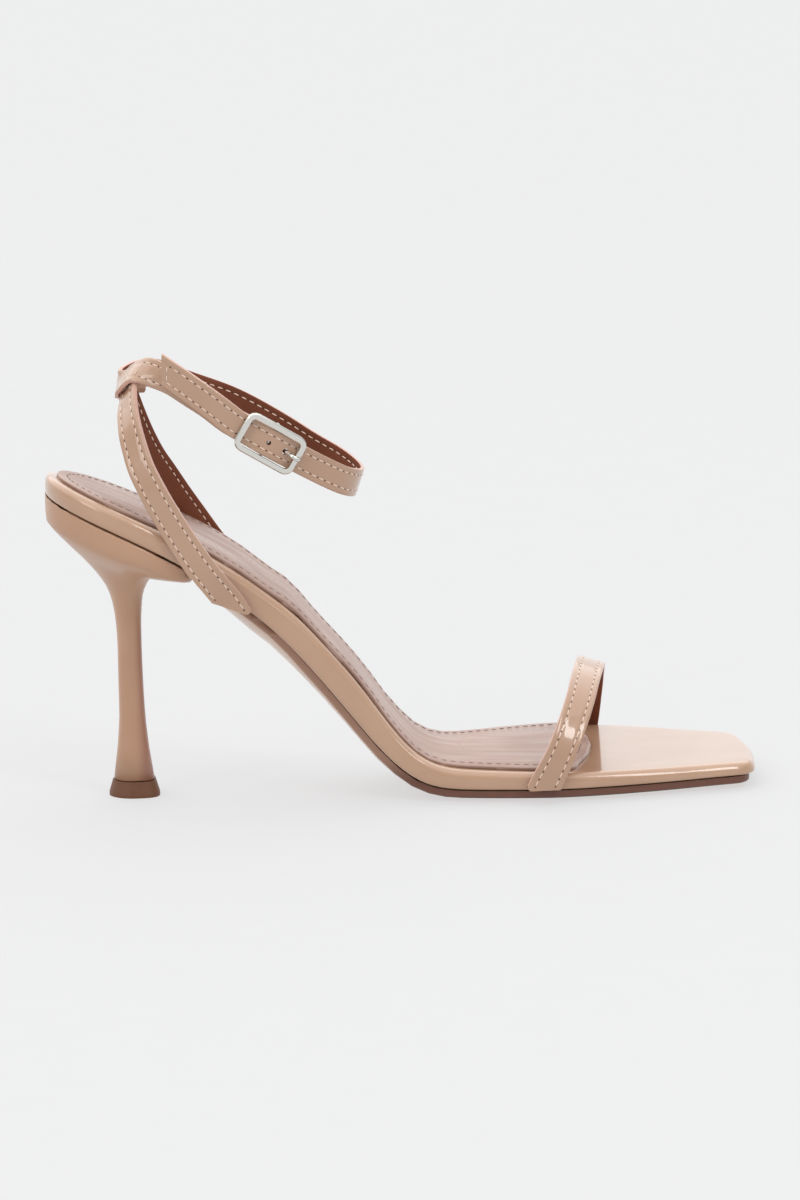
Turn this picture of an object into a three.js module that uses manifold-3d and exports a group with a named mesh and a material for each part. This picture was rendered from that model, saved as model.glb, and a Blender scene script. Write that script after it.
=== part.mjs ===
import * as THREE from 'three';
import { mergeVertices } from 'three/addons/utils/BufferGeometryUtils.js';
import Module from 'manifold-3d';

const wasm = await Module();
wasm.setup();

// Right-foot ankle strap sandal. Millimetres, +X to the toe, +Y to the inner side, +Z up, floor at z = 0.
// A place on the sole is given by s, the distance from the back of the seat, and y across it.

// Driving dimensions
const LENGTH = 223.8;
const TOE_BOW = 1.6;
const BALL_WIDTH = 77.4;
const SEAT_LIFT = 93.6;
const TOE_SPRING = 0.4;
const SEAT_LENGTH = 30.2;
const TOE_CORNER_OUTER = 6.5;
const TOE_CORNER_INNER = 9;
const BOARD = 7.6;
const BOARD_TOP_ROUND = 2.8;
const BOARD_LOW_ROUND = 0.8;
const GAP = 0.3;

const SOLE = 3.4;
const SOLE_EDGE = 2.1;
const SOLE_ROUND = 0.5;
const SOLE_INSET = 1.0;
const WAIST_TUCK = 2.2;

const SOCK = 0.9;
const SOCK_MARGIN = 4.2;
const SOCK_END = 172;
const SOCK_CORNER = 7;
const SOCK_BOW = 7.4;
const SOCK_FRONT = SOCK_CORNER + SOCK_MARGIN;

const HEEL_PAST_SEAT = 15.8;
const HEEL_DEPTH = SEAT_LENGTH + HEEL_PAST_SEAT;
const SOLE_PAST_HEEL = 2;
const SOLE_START = HEEL_DEPTH + SOLE_PAST_HEEL;
const HEEL_HALF = 26.4;
const TIP_HEIGHT = 5;
const TIP_DEPTH = 12.8;
const TIP_WIDTH = 12.6;
const TIP_FLARE = 1.6;
const HEEL_AXIS = 26.2;

const STRAP = 1.8;
const STRAP_CHAMFER = 0.4;
const STRAP_END_UP = 0.8;
const TOE_STRAP_WIDTH = 9.2;
const TOE_STRAP_FOOT = 10.4;
const TOE_STRAP_BEHIND_TOE = 51.4;
const TOE_STRAP_AT = LENGTH - TOE_STRAP_BEHIND_TOE;
const TOE_STRAP_RISE = 37.4;
const TOE_STRAP_SLANT = 24;
const QUARTER_TOP_WIDTH = 8.4;
const QUARTER_FOOT_WIDTH = 9.6;
const QUARTER_FOOT = 63.2;
const QUARTER_END = 58.5;
const QUARTER_SPREAD = 27;
const QUARTER_FOOT_CUT = 61;
const QUARTER_CUT_SLOPE = 0.4;

const ANKLE = 1.5;
const ANKLE_WIDTH = 9;
const LOOP_BACK = 24.3;
const LOOP_LENGTH = 76;
const LOOP_HALF = 19.5;
const LOOP_FRONT_HEIGHT = 97.6;
const LOOP_RISE = 39.6;
const QUARTER_BELOW_LOOP = 3.7;
const QUARTER_TOP = LOOP_FRONT_HEIGHT + LOOP_RISE - QUARTER_BELOW_LOOP;
const QUARTER_INSIDE_LOOP = 1.9;
const QUARTER_BACK = LOOP_BACK + QUARTER_INSIDE_LOOP;
const FREE_END_SLANT = 0.55;

const BUCKLE_LENGTH = 21.4;
const BUCKLE_WIDTH = 13.2;
const BUCKLE_BAR = 1.8;
const BUCKLE_THICK = 1.7;
const BUCKLE_CORNER = 3.2;
const BUCKLE_HEIGHT = 115;
const BUCKLE_AT = 70;
const BUCKLE_OUT = 20;
const BUCKLE_SLOPE = 31.5;
const PIVOT = 1.3;
const PRONG = 1.4;
const PRONG_RISE_AT = 6.2;
const PRONG_SLOT = 1.3;
const RING_WALL = 0.7;
const EYE_WALL = 0.8;
const POST = 0.8;
const STRAP_SLACK = 0.1;
const BUCKLE_BEVEL = 0.35;
const BUCKLE_TURN_IN = 0.09;

// Rows from the back to the toe: lift is the underside's height as a share of SEAT_LIFT,
// board its thickness as a share of BOARD, sole the outsole's as a share of SOLE, spring of TOE_SPRING
const PROFILE = [
  { at: 0.0, lift: 1.0, board: 0.92, sole: 1, spring: 0 },
  { at: 0.0534, lift: 0.9455, board: 0.9, sole: 1, spring: 0 },
  { at: 0.121, lift: 0.871, board: 0.9, sole: 1, spring: 0 },
  { at: 0.1885, lift: 0.785, board: 0.95, sole: 1, spring: 0 },
  { at: 0.251, lift: 0.689, board: 0.99, sole: 1.75, spring: 0 },
  { at: 0.2955, lift: 0.605, board: 1.0, sole: 1.9, spring: 0 },
  { at: 0.3305, lift: 0.53, board: 1.01, sole: 1.65, spring: 0 },
  { at: 0.3645, lift: 0.433, board: 1.03, sole: 1.35, spring: 0 },
  { at: 0.404, lift: 0.316, board: 1.08, sole: 1.2, spring: 0 },
  { at: 0.44, lift: 0.208, board: 1.13, sole: 1.12, spring: 0 },
  { at: 0.465, lift: 0.136, board: 1.1, sole: 1.14, spring: 0 },
  { at: 0.4915, lift: 0.075, board: 1.03, sole: 1.14, spring: 0 },
  { at: 0.5165, lift: 0.033, board: 0.98, sole: 1.08, spring: 0 },
  { at: 0.5424, lift: 0.0096, board: 0.93, sole: 1, spring: 0 },
  { at: 0.5696, lift: 0.001, board: 0.89, sole: 1, spring: 0 },
  { at: 0.5968, lift: 0, board: 0.86, sole: 1, spring: 0 },
  { at: 0.6553, lift: 0, board: 0.8, sole: 1, spring: 0 },
  { at: 0.7762, lift: 0, board: 0.7, sole: 1, spring: 0 },
  { at: 0.877, lift: 0, board: 0.64, sole: 1, spring: 0.15 },
  { at: 1.0, lift: 0, board: 0.56, sole: 1, spring: 1 },
];

// Half widths as shares of half BALL_WIDTH, and skew, how far forward the inner side of a section lies
const OUTLINE = [
  { at: 0.12, lateral: 0.698, medial: 0.698, skew: 0.02, tuck: 0 },
  { at: 0.2016, lateral: 0.685, medial: 0.672, skew: 0.05, tuck: 1 },
  { at: 0.2561, lateral: 0.661, medial: 0.636, skew: 0.08, tuck: 1 },
  { at: 0.3226, lateral: 0.641, medial: 0.568, skew: 0.085, tuck: 1 },
  { at: 0.3901, lateral: 0.641, medial: 0.51, skew: 0.06, tuck: 1 },
  { at: 0.4577, lateral: 0.672, medial: 0.517, skew: 0.065, tuck: 0.9 },
  { at: 0.5252, lateral: 0.744, medial: 0.6, skew: 0.085, tuck: 0.4 },
  { at: 0.5928, lateral: 0.827, medial: 0.762, skew: 0.105, tuck: 0 },
  { at: 0.6593, lateral: 0.899, medial: 0.943, skew: 0.11, tuck: 0 },
  { at: 0.7268, lateral: 0.94, medial: 1.054, skew: 0.11, tuck: 0 },
  { at: 0.788, lateral: 0.905, medial: 1.045, skew: 0.105, tuck: 0 },
  { at: 0.84, lateral: 0.85, medial: 0.955, skew: 0.095, tuck: 0 },
  { at: 0.875, lateral: 0.805, medial: 0.88, skew: 0.08, tuck: 0 },
  { at: 0.935, lateral: 0.715, medial: 0.74, skew: 0.04, tuck: 0 },
  { at: 1.0, lateral: 0.65, medial: 0.63, skew: 0, tuck: 0 },
];

// Cubic through a column of a table, with slopes that never overshoot a row
function smooth(table, column, at) {
  const last = table.length - 1;
  const t = Math.min(Math.max(at, table[0].at), table[last].at);
  let i = 0;
  while (i < last - 1 && t > table[i + 1].at) i += 1;
  const rise = (j) => (table[j + 1][column] - table[j][column]) / (table[j + 1].at - table[j].at);
  const slope = (j) => {
    if (j === 0) return rise(0);
    if (j === last) return rise(last - 1);
    const a = rise(j - 1);
    const b = rise(j);
    return a * b <= 0 ? 0 : (2 * a * b) / (a + b);
  };
  const h = table[i + 1].at - table[i].at;
  const u = (t - table[i].at) / h;
  const from = table[i][column];
  const to = table[i + 1][column];
  return (
    from * (1 + 2 * u) * (1 - u) ** 2 +
    h * slope(i) * u * (1 - u) ** 2 +
    to * u * u * (3 - 2 * u) +
    h * slope(i + 1) * u * u * (u - 1)
  );
}

const profile = (column, s) => smooth(PROFILE, column, s / LENGTH);
const outline = (column, s) => smooth(OUTLINE, column, s / LENGTH);

function underside(s) {
  return GAP + SOLE + SEAT_LIFT * profile('lift', s) + TOE_SPRING * profile('spring', s);
}

// Vertical length of one millimetre of thickness where the sole is this steep
function steep(s) {
  const step = 1;
  return Math.hypot(1, (underside(s + step) - underside(s - step)) / (2 * step));
}

const footbed = (s) => underside(s) + BOARD * profile('board', s) * steep(s);

// Triangles collected by their corners, closed and turned outwards at the end
class Skin {
  constructor() {
    this.corners = [];
  }

  triangle(a, b, c) {
    this.corners.push(...a, ...b, ...c);
  }

  quad(a, b, c, d) {
    this.triangle(a, b, c);
    this.triangle(a, c, d);
  }

  geometry() {
    const loose = new THREE.BufferGeometry();
    loose.setAttribute('position', new THREE.Float32BufferAttribute(this.corners, 3));
    const merged = mergeVertices(loose, 1e-4);
    const index = merged.getIndex().array;
    const place = merged.getAttribute('position');
    const [a, b, c] = [0, 1, 2].map(() => new THREE.Vector3());
    const kept = [];
    let volume = 0;
    for (let i = 0; i < index.length; i += 3) {
      const [p, q, r] = [index[i], index[i + 1], index[i + 2]];
      if (p === q || q === r || r === p) continue;
      kept.push(p, q, r);
      a.fromBufferAttribute(place, p);
      b.fromBufferAttribute(place, q);
      c.fromBufferAttribute(place, r);
      volume += a.dot(b.cross(c));
    }
    if (volume < 0) kept.reverse();
    merged.setIndex(kept);
    return merged;
  }
}

function solid(geometry) {
  const place = geometry.getAttribute('position').array;
  const index = geometry.getIndex().array;
  const mesh = new wasm.Mesh({
    numProp: 3,
    vertProperties: new Float32Array(place),
    triVerts: new Uint32Array(index),
  });
  return new wasm.Manifold(mesh);
}

function surface(manifold) {
  const mesh = manifold.getMesh();
  const geometry = new THREE.BufferGeometry();
  geometry.setAttribute('position', new THREE.BufferAttribute(new Float32Array(mesh.vertProperties), 3));
  geometry.setIndex(new THREE.BufferAttribute(new Uint32Array(mesh.triVerts), 1));
  return geometry;
}

// A layer of the sole: plan says where it starts and ends, each level how far it is drawn in and its height
const BACK_STEPS = 9;
const BODY_STEPS = 30;
const CORNER_STEPS = 6;
const BOW_POWER = 24;

function halfWidth(plan, side, s, inset) {
  const tuck = plan.tuck * outline('tuck', s);
  if (s < SEAT_LENGTH) {
    const turn = (SEAT_LENGTH - s) / (SEAT_LENGTH - inset);
    const full = (outline(side, SEAT_LENGTH) * BALL_WIDTH) / 2 - inset;
    return full * Math.sqrt(Math.max(0, 1 - turn * turn));
  }
  return (outline(side, s) * BALL_WIDTH) / 2 - inset - tuck;
}

function planRows(plan, inset) {
  const rows = [];
  const row = (s, lateral, medial) => rows.push({ s, lateral, medial });
  const plain = (s) => row(s, halfWidth(plan, 'lateral', s, inset), halfWidth(plan, 'medial', s, inset));
  const outer = Math.max(plan.outer - inset, 0.5);
  const inner = Math.max(plan.inner - inset, 0.5);
  const corner = Math.max(outer, inner);
  const end = plan.to - inset;
  const drawnIn = (radius, s) => {
    const past = Math.max(0, s - end + radius);
    return radius - Math.sqrt(Math.max(0, radius * radius - past * past));
  };
  let bodyStart = plan.from;
  if (plan.from === 0) {
    for (let i = 0; i < BACK_STEPS; i += 1) {
      plain(SEAT_LENGTH - (SEAT_LENGTH - inset) * Math.cos((Math.PI / 2) * (i / BACK_STEPS)));
    }
    bodyStart = SEAT_LENGTH;
  }
  for (let i = 0; i < BODY_STEPS; i += 1) {
    plain(bodyStart + ((end - corner - bodyStart) * i) / BODY_STEPS);
  }
  for (let i = 0; i <= CORNER_STEPS; i += 1) {
    const s = end - corner + corner * Math.sin((Math.PI / 2) * (i / CORNER_STEPS));
    const lateral = halfWidth(plan, 'lateral', s, inset) - drawnIn(outer, s);
    row(s, lateral, halfWidth(plan, 'medial', s, inset) - drawnIn(inner, s));
  }
  return rows;
}

// How far forward a point of section s lies: skewed, and bowed near the front end, share from -1 to 1 across
function alongSole(plan, s, y, share) {
  const bow = plan.bow * (s / plan.to) ** BOW_POWER;
  return s + outline('skew', s) * y - bow * share * share;
}

function layer(plan, levels, across) {
  const skin = new Skin();
  const grids = levels.map(({ inset, height }) =>
    planRows(plan, inset).map(({ s, lateral, medial }) => {
      const points = [];
      for (let j = 0; j <= across; j += 1) {
        const share = (2 * j) / across - 1;
        const y = -lateral + ((lateral + medial) * j) / across;
        points.push([alongSole(plan, s, y, share), y, height(s, share)]);
      }
      return points;
    }),
  );
  const rim = (grid) => {
    const last = grid.length - 1;
    const points = grid.map((row) => row[0]);
    points.push(...grid[last].slice(1, across));
    points.push(...grid.map((row) => row[across]).reverse());
    points.push(...grid[0].slice(1, across).reverse());
    return points;
  };
  const sheet = (grid, up) => {
    for (let i = 0; i < grid.length - 1; i += 1) {
      for (let j = 0; j < across; j += 1) {
        const corners = [grid[i][j], grid[i + 1][j], grid[i + 1][j + 1], grid[i][j + 1]];
        if (up) corners.reverse();
        skin.quad(...corners);
      }
    }
  };
  sheet(grids[0], true);
  sheet(grids[grids.length - 1], false);
  for (let k = 0; k < grids.length - 1; k += 1) {
    const low = rim(grids[k]);
    const high = rim(grids[k + 1]);
    low.forEach((point, i) => {
      const next = (i + 1) % low.length;
      skin.quad(point, low[next], high[next], high[i]);
    });
  }
  return skin.geometry();
}

// Wrapped insole board
const TOE = { outer: TOE_CORNER_OUTER, inner: TOE_CORNER_INNER, bow: TOE_BOW };
const BOARD_PLAN = { ...TOE, from: 0, to: LENGTH, tuck: 0 };

function boardLevels(grow) {
  const levels = [
    { inset: BOARD_LOW_ROUND - grow, height: (s) => underside(s) - grow * steep(s) },
    { inset: -grow, height: (s) => underside(s) + BOARD_LOW_ROUND * steep(s) },
  ];
  const steps = 4;
  for (let i = 0; i <= steps; i += 1) {
    const turn = (Math.PI / 2) * (i / steps);
    const drop = BOARD_TOP_ROUND * (1 - Math.sin(turn)) - grow;
    levels.push({
      inset: BOARD_TOP_ROUND * (1 - Math.cos(turn)) - grow,
      height: (s) => footbed(s) - drop * steep(s),
    });
  }
  return levels;
}

const platform = layer(BOARD_PLAN, boardLevels(0), 4);
const boardRoom = solid(layer(BOARD_PLAN, boardLevels(GAP), 4));

// Footbed lining
const sock = surface(
  solid(
    layer(
      { from: 0, to: SOCK_END + SOCK_MARGIN, outer: SOCK_FRONT, inner: SOCK_FRONT, bow: SOCK_BOW, tuck: 0 },
      [
        { inset: SOCK_MARGIN, height: footbed },
        { inset: SOCK_MARGIN, height: (s) => footbed(s) + (GAP + SOCK * 0.6) * steep(s) },
        { inset: SOCK_MARGIN + SOCK * 0.5, height: (s) => footbed(s) + (GAP + SOCK) * steep(s) },
      ],
      4,
    ),
  ).subtract(boardRoom),
);

// Outsole: flat where it stands, crowned across
function soleBottom(s, share) {
  const middle = Math.max(0, underside(s) - (GAP + SOLE * profile('sole', s)) * steep(s));
  const edge = underside(s) - (GAP + SOLE_EDGE) * steep(s);
  return middle + (edge - middle) * Math.abs(share) ** 3;
}

const SOLE_PLAN = { ...TOE, from: SOLE_START, to: LENGTH - SOLE_INSET, tuck: WAIST_TUCK };

const outsole = surface(
  solid(
    layer(
      SOLE_PLAN,
      [
        { inset: SOLE_INSET + SOLE_ROUND, height: soleBottom },
        { inset: SOLE_INSET, height: (s) => soleBottom(s, 1) + SOLE_ROUND * steep(s) },
        { inset: SOLE_INSET, height: underside },
      ],
      8,
    ),
  ).subtract(boardRoom),
);

// Everything lower than the line that the strap ends are trimmed to
const underStraps = solid(
  layer(
    BOARD_PLAN,
    [
      { inset: -SEAT_LENGTH / 3, height: () => -SEAT_LIFT },
      { inset: -SEAT_LENGTH / 3, height: (s) => underside(s) + STRAP_END_UP * steep(s) },
    ],
    4,
  ),
);

// Heel sections from the seat down: back and front as shares of HEEL_DEPTH from the back of the seat,
// their heights as shares of the seat's height, half width as a share of HEEL_HALF,
// belly the share of the section that is rounded behind, square the power of its front curve
const HEEL = [
  { at: 0.0, back: 0.002, backUp: 1.035, front: 1.02, frontUp: 0.81, half: 1.0, belly: 0.64, square: 7 },
  { at: 0.08, back: 0.002, backUp: 0.99, front: 1.0, frontUp: 0.756, half: 1.0, belly: 0.64, square: 7 },
  { at: 0.16, back: 0.005, backUp: 0.925, front: 0.96, frontUp: 0.728, half: 0.97, belly: 0.63, square: 5 },
  { at: 0.24, back: 0.094, backUp: 0.867, front: 0.85, frontUp: 0.728, half: 0.82, belly: 0.6, square: 4 },
  { at: 0.32, back: 0.246, backUp: 0.793, front: 0.728, frontUp: 0.73, half: 0.56, belly: 0.56, square: 3.4 },
  { at: 0.4, back: 0.353, backUp: 0.733, front: 0.676, frontUp: 0.695, half: 0.38, belly: 0.54, square: 3 },
  { at: 0.46, back: 0.412, backUp: 0.688, front: 0.654, frontUp: 0.658, half: 0.28, belly: 0.52, square: 2.8 },
  { at: 0.52, back: 0.446, backUp: 0.639, front: 0.646, frontUp: 0.617, half: 0.215, belly: 0.5, square: 2.6 },
  { at: 0.58, back: 0.466, backUp: 0.577, front: 0.641, frontUp: 0.565, half: 0.176, belly: 0.5, square: 2.6 },
  { at: 0.66, back: 0.475, backUp: 0.488, front: 0.641, frontUp: 0.486, half: 0.156, belly: 0.5, square: 2.6 },
  { at: 0.74, back: 0.475, backUp: 0.38, front: 0.646, frontUp: 0.37, half: 0.156, belly: 0.5, square: 2.6 },
  { at: 0.82, back: 0.476, backUp: 0.274, front: 0.657, frontUp: 0.252, half: 0.167, belly: 0.5, square: 2.7 },
  { at: 0.9, back: 0.461, backUp: 0.168, front: 0.678, frontUp: 0.152, half: 0.193, belly: 0.5, square: 2.9 },
];
const HEEL_AROUND = 40;
const HEEL_STEPS = 26;

function sectionLoop({ back, front, backUp, frontUp, half, belly, square }) {
  const points = [];
  const widest = back + (front - back) * belly;
  for (let i = 0; i < HEEL_AROUND; i += 1) {
    const turn = (2 * Math.PI * i) / HEEL_AROUND;
    const ahead = Math.cos(turn);
    const aside = Math.sin(turn);
    const power = 2 / (ahead > 0 ? square : 2);
    const along = Math.sign(ahead) * Math.abs(ahead) ** power;
    const reach = ahead > 0 ? front - widest : widest - back;
    const x = widest + reach * along;
    const y = half * Math.sign(aside) * Math.abs(aside) ** power;
    const z = backUp + ((frontUp - backUp) * (x - back)) / (front - back);
    points.push([x, y, z]);
  }
  return points;
}

// A closed solid through a row of loops with as many corners each
function tube(loops) {
  const skin = new Skin();
  for (let k = 0; k < loops.length - 1; k += 1) {
    loops[k].forEach((point, i) => {
      const next = (i + 1) % loops[k].length;
      skin.quad(point, loops[k + 1][i], loops[k + 1][next], loops[k][next]);
    });
  }
  const cap = (loop, flip) => {
    const middle = [0, 1, 2].map((axis) => loop.reduce((sum, point) => sum + point[axis], 0) / loop.length);
    loop.forEach((point, i) => {
      const next = loop[(i + 1) % loop.length];
      if (flip) skin.triangle(middle, next, point);
      else skin.triangle(middle, point, next);
    });
  };
  cap(loops[0], false);
  cap(loops[loops.length - 1], true);
  return skin.geometry();
}

const tipLoop = (grow, up) =>
  sectionLoop({
    back: HEEL_AXIS - TIP_DEPTH / 2 - grow,
    front: HEEL_AXIS + TIP_DEPTH / 2 + grow,
    backUp: up,
    frontUp: up,
    half: TIP_WIDTH / 2 + grow,
    belly: 0.5,
    square: 3.2,
  });

function heelLoops() {
  const seat = underside(0);
  const loops = [];
  const lowest = HEEL[HEEL.length - 1].at;
  for (let k = 0; k <= HEEL_STEPS; k += 1) {
    const at = (lowest * k) / HEEL_STEPS;
    const share = (column) => smooth(HEEL, column, at);
    loops.push(
      sectionLoop({
        back: share('back') * HEEL_DEPTH,
        front: share('front') * HEEL_DEPTH,
        backUp: share('backUp') * seat,
        frontUp: share('frontUp') * seat,
        half: share('half') * HEEL_HALF,
        belly: share('belly'),
        square: share('square'),
      }),
    );
  }
  loops.push(tipLoop(0, TIP_HEIGHT + GAP));
  return loops;
}

const heel = surface(solid(tube(heelLoops())).subtract(boardRoom));
const topPiece = tube([
  tipLoop(TIP_FLARE / 4, TIP_HEIGHT),
  tipLoop(TIP_FLARE, TIP_HEIGHT / 5),
  tipLoop(TIP_FLARE, 0),
]);

// A strap along a route of rows { place, out, width, thick }, out pointing away from the foot
const vector = (x, y, z) => new THREE.Vector3(x, y, z);

function strap(rows, steps, slant) {
  const route = new THREE.CatmullRomCurve3(rows.map((row) => row.place), false, 'centripetal');
  const loops = [];
  for (let k = 0; k <= steps; k += 1) {
    const t = k / steps;
    const spot = t * (rows.length - 1);
    const i = Math.min(Math.floor(spot), rows.length - 2);
    const mix = spot - i;
    const blend = (key) => rows[i][key] * (1 - mix) + rows[i + 1][key] * mix;
    const along = route.getTangent(t);
    const out = rows[i].out.clone().lerp(rows[i + 1].out, mix);
    out.addScaledVector(along, -out.dot(along)).normalize();
    const side = vector(0, 0, 0).crossVectors(along, out);
    const w = blend('width') / 2;
    const h = blend('thick') / 2;
    const c = STRAP_CHAMFER;
    const shift = t === 1 ? slant : 0;
    const corner = (a, b) => {
      const point = route.getPoint(t).addScaledVector(side, a).addScaledVector(out, b);
      point.addScaledVector(along, a * shift);
      return point.toArray();
    };
    loops.push([
      corner(-w, c - h),
      corner(-w, h - c),
      corner(c - w, h),
      corner(w - c, h),
      corner(w, h - c),
      corner(w, c - h),
      corner(w - c, -h),
      corner(c - w, -h),
    ]);
  }
  return solid(tube(loops));
}

// Toe strap: across as a share of half BALL_WIDTH, up as a share of TOE_STRAP_RISE,
// ahead as a share of TOE_STRAP_SLANT, foot where it widens towards its ends
const TOE_ROUTE = [
  { across: -0.974, up: 0.02, ahead: -0.89, foot: 1 },
  { across: -0.976, up: 0.14, ahead: -0.81, foot: 1 },
  { across: -0.984, up: 0.37, ahead: -0.63, foot: 0.3 },
  { across: -0.938, up: 0.53, ahead: -0.51, foot: 0 },
  { across: -0.853, up: 0.67, ahead: -0.4, foot: 0 },
  { across: -0.685, up: 0.83, ahead: -0.27, foot: 0 },
  { across: -0.452, up: 0.95, ahead: -0.16, foot: 0 },
  { across: -0.22, up: 1.0, ahead: -0.07, foot: 0 },
  { across: 0.026, up: 1.0, ahead: 0, foot: 0 },
  { across: 0.258, up: 0.944, ahead: 0.045, foot: 0 },
  { across: 0.49, up: 0.835, ahead: 0.075, foot: 0 },
  { across: 0.71, up: 0.695, ahead: 0.1, foot: 0 },
  { across: 0.88, up: 0.535, ahead: 0.105, foot: 0 },
  { across: 1.005, up: 0.375, ahead: 0.095, foot: 0.2 },
  { across: 1.08, up: 0.24, ahead: 0.07, foot: 0.6 },
  { across: 1.102, up: 0.12, ahead: 0.03, foot: 1 },
  { across: 1.102, up: 0.02, ahead: -0.01, foot: 1 },
];
const TOE_STRAP_LEAN = 0.3;

const toeStrap = surface(
  strap(
    TOE_ROUTE.map(({ across, up, ahead, foot }) => ({
      place: vector(TOE_STRAP_AT + ahead * TOE_STRAP_SLANT, (across * BALL_WIDTH) / 2, up * TOE_STRAP_RISE),
      out: vector(TOE_STRAP_LEAN * up, across, up * up),
      width: TOE_STRAP_WIDTH + foot * (TOE_STRAP_FOOT - TOE_STRAP_WIDTH),
      thick: STRAP,
    })),
    44,
    0,
  )
    .subtract(boardRoom)
    .subtract(underStraps),
);

// Quarter straps from the sole up: ahead as a share from the back of the loop to the foot of the strap,
// out as a share of QUARTER_SPREAD, up as a share from the foot to QUARTER_TOP, face the way it looks, in
// degrees from straight out to straight back
const LATERAL = [
  { ahead: 0.905, out: 1.012, up: 0.0, face: 0 },
  { ahead: 0.857, out: 1.014, up: 0.049, face: 0 },
  { ahead: 0.786, out: 1.02, up: 0.104, face: 0 },
  { ahead: 0.706, out: 1.05, up: 0.154, face: 3 },
  { ahead: 0.548, out: 1.105, up: 0.263, face: 8 },
  { ahead: 0.36, out: 1.07, up: 0.41, face: 15 },
  { ahead: 0.184, out: 1.0, up: 0.567, face: 18 },
  { ahead: 0.084, out: 0.889, up: 0.673, face: 22 },
  { ahead: 0.038, out: 0.778, up: 0.75, face: 28 },
  { ahead: 0.008, out: 0.667, up: 0.82, face: 33 },
  { ahead: -0.002, out: 0.48, up: 0.89, face: 40 },
  { ahead: 0.015, out: 0.28, up: 0.95, face: 50 },
  { ahead: 0.04, out: 0.14, up: 0.985, face: 60 },
];
const MEDIAL = [
  { ahead: 1.02, out: 0.99, up: 0.0, face: 0 },
  { ahead: 0.965, out: 0.992, up: 0.06, face: 0 },
  { ahead: 0.871, out: 0.995, up: 0.147, face: 2 },
  { ahead: 0.742, out: 1.002, up: 0.233, face: 6 },
  { ahead: 0.607, out: 0.99, up: 0.333, face: 10 },
  { ahead: 0.477, out: 0.89, up: 0.433, face: 15 },
  { ahead: 0.347, out: 0.74, up: 0.541, face: 20 },
  { ahead: 0.242, out: 0.6, up: 0.629, face: 26 },
  { ahead: 0.147, out: 0.45, up: 0.737, face: 34 },
  { ahead: 0.06, out: 0.3, up: 0.867, face: 44 },
  { ahead: 0.01, out: 0.18, up: 0.965, face: 55 },
];

// What is trimmed off under the slanted ends of the quarter straps
const footTrim = solid(
  tube(
    [-BALL_WIDTH, BALL_WIDTH].map((y) => [
      [0, y, 0],
      [0, y, QUARTER_FOOT_CUT + QUARTER_FOOT * QUARTER_CUT_SLOPE],
      [2 * QUARTER_FOOT, y, QUARTER_FOOT_CUT - QUARTER_FOOT * QUARTER_CUT_SLOPE],
      [2 * QUARTER_FOOT, y, 0],
    ]),
  ),
);

function quarter(table, side) {
  const rows = table.map(({ ahead, out, up, face }) => {
    const turn = THREE.MathUtils.degToRad(face);
    return {
      place: vector(
        QUARTER_BACK + ahead * (QUARTER_FOOT - QUARTER_BACK),
        side * out * QUARTER_SPREAD,
        QUARTER_END + up * (QUARTER_TOP - QUARTER_END),
      ),
      out: vector(-Math.sin(turn), side * Math.cos(turn), 0),
      width: QUARTER_FOOT_WIDTH + up * (QUARTER_TOP_WIDTH - QUARTER_FOOT_WIDTH),
      thick: STRAP,
    };
  });
  return strap(rows, 40, 0).subtract(boardRoom).subtract(footTrim);
}

// The buckle's own frame: along the strap to the front, out from the ankle, up across the strap
const slope = THREE.MathUtils.degToRad(BUCKLE_SLOPE);
const alongStrap = vector(Math.cos(slope), BUCKLE_TURN_IN, -Math.sin(slope)).normalize();
const acrossStrap = vector(Math.sin(slope), 0, Math.cos(slope));
acrossStrap.addScaledVector(alongStrap, -acrossStrap.dot(alongStrap)).normalize();
const outOfStrap = vector(0, 0, 0).crossVectors(alongStrap, acrossStrap);
const buckleMiddle = vector(BUCKLE_AT, -BUCKLE_OUT - BUCKLE_THICK, BUCKLE_HEIGHT);
const atBuckle = (along, out, across = 0) =>
  buckleMiddle
    .clone()
    .addScaledVector(alongStrap, along)
    .addScaledVector(outOfStrap, out)
    .addScaledVector(acrossStrap, across);

const underBar = -(BUCKLE_THICK / 2 + GAP + ANKLE / 2);
const underFree = underBar - ANKLE - GAP;
const EYE = PIVOT / 2 + GAP + EYE_WALL;
const overEye = underFree + EYE + GAP + ANKLE / 2;
const barAt = (BUCKLE_LENGTH - BUCKLE_BAR) / 2;

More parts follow.
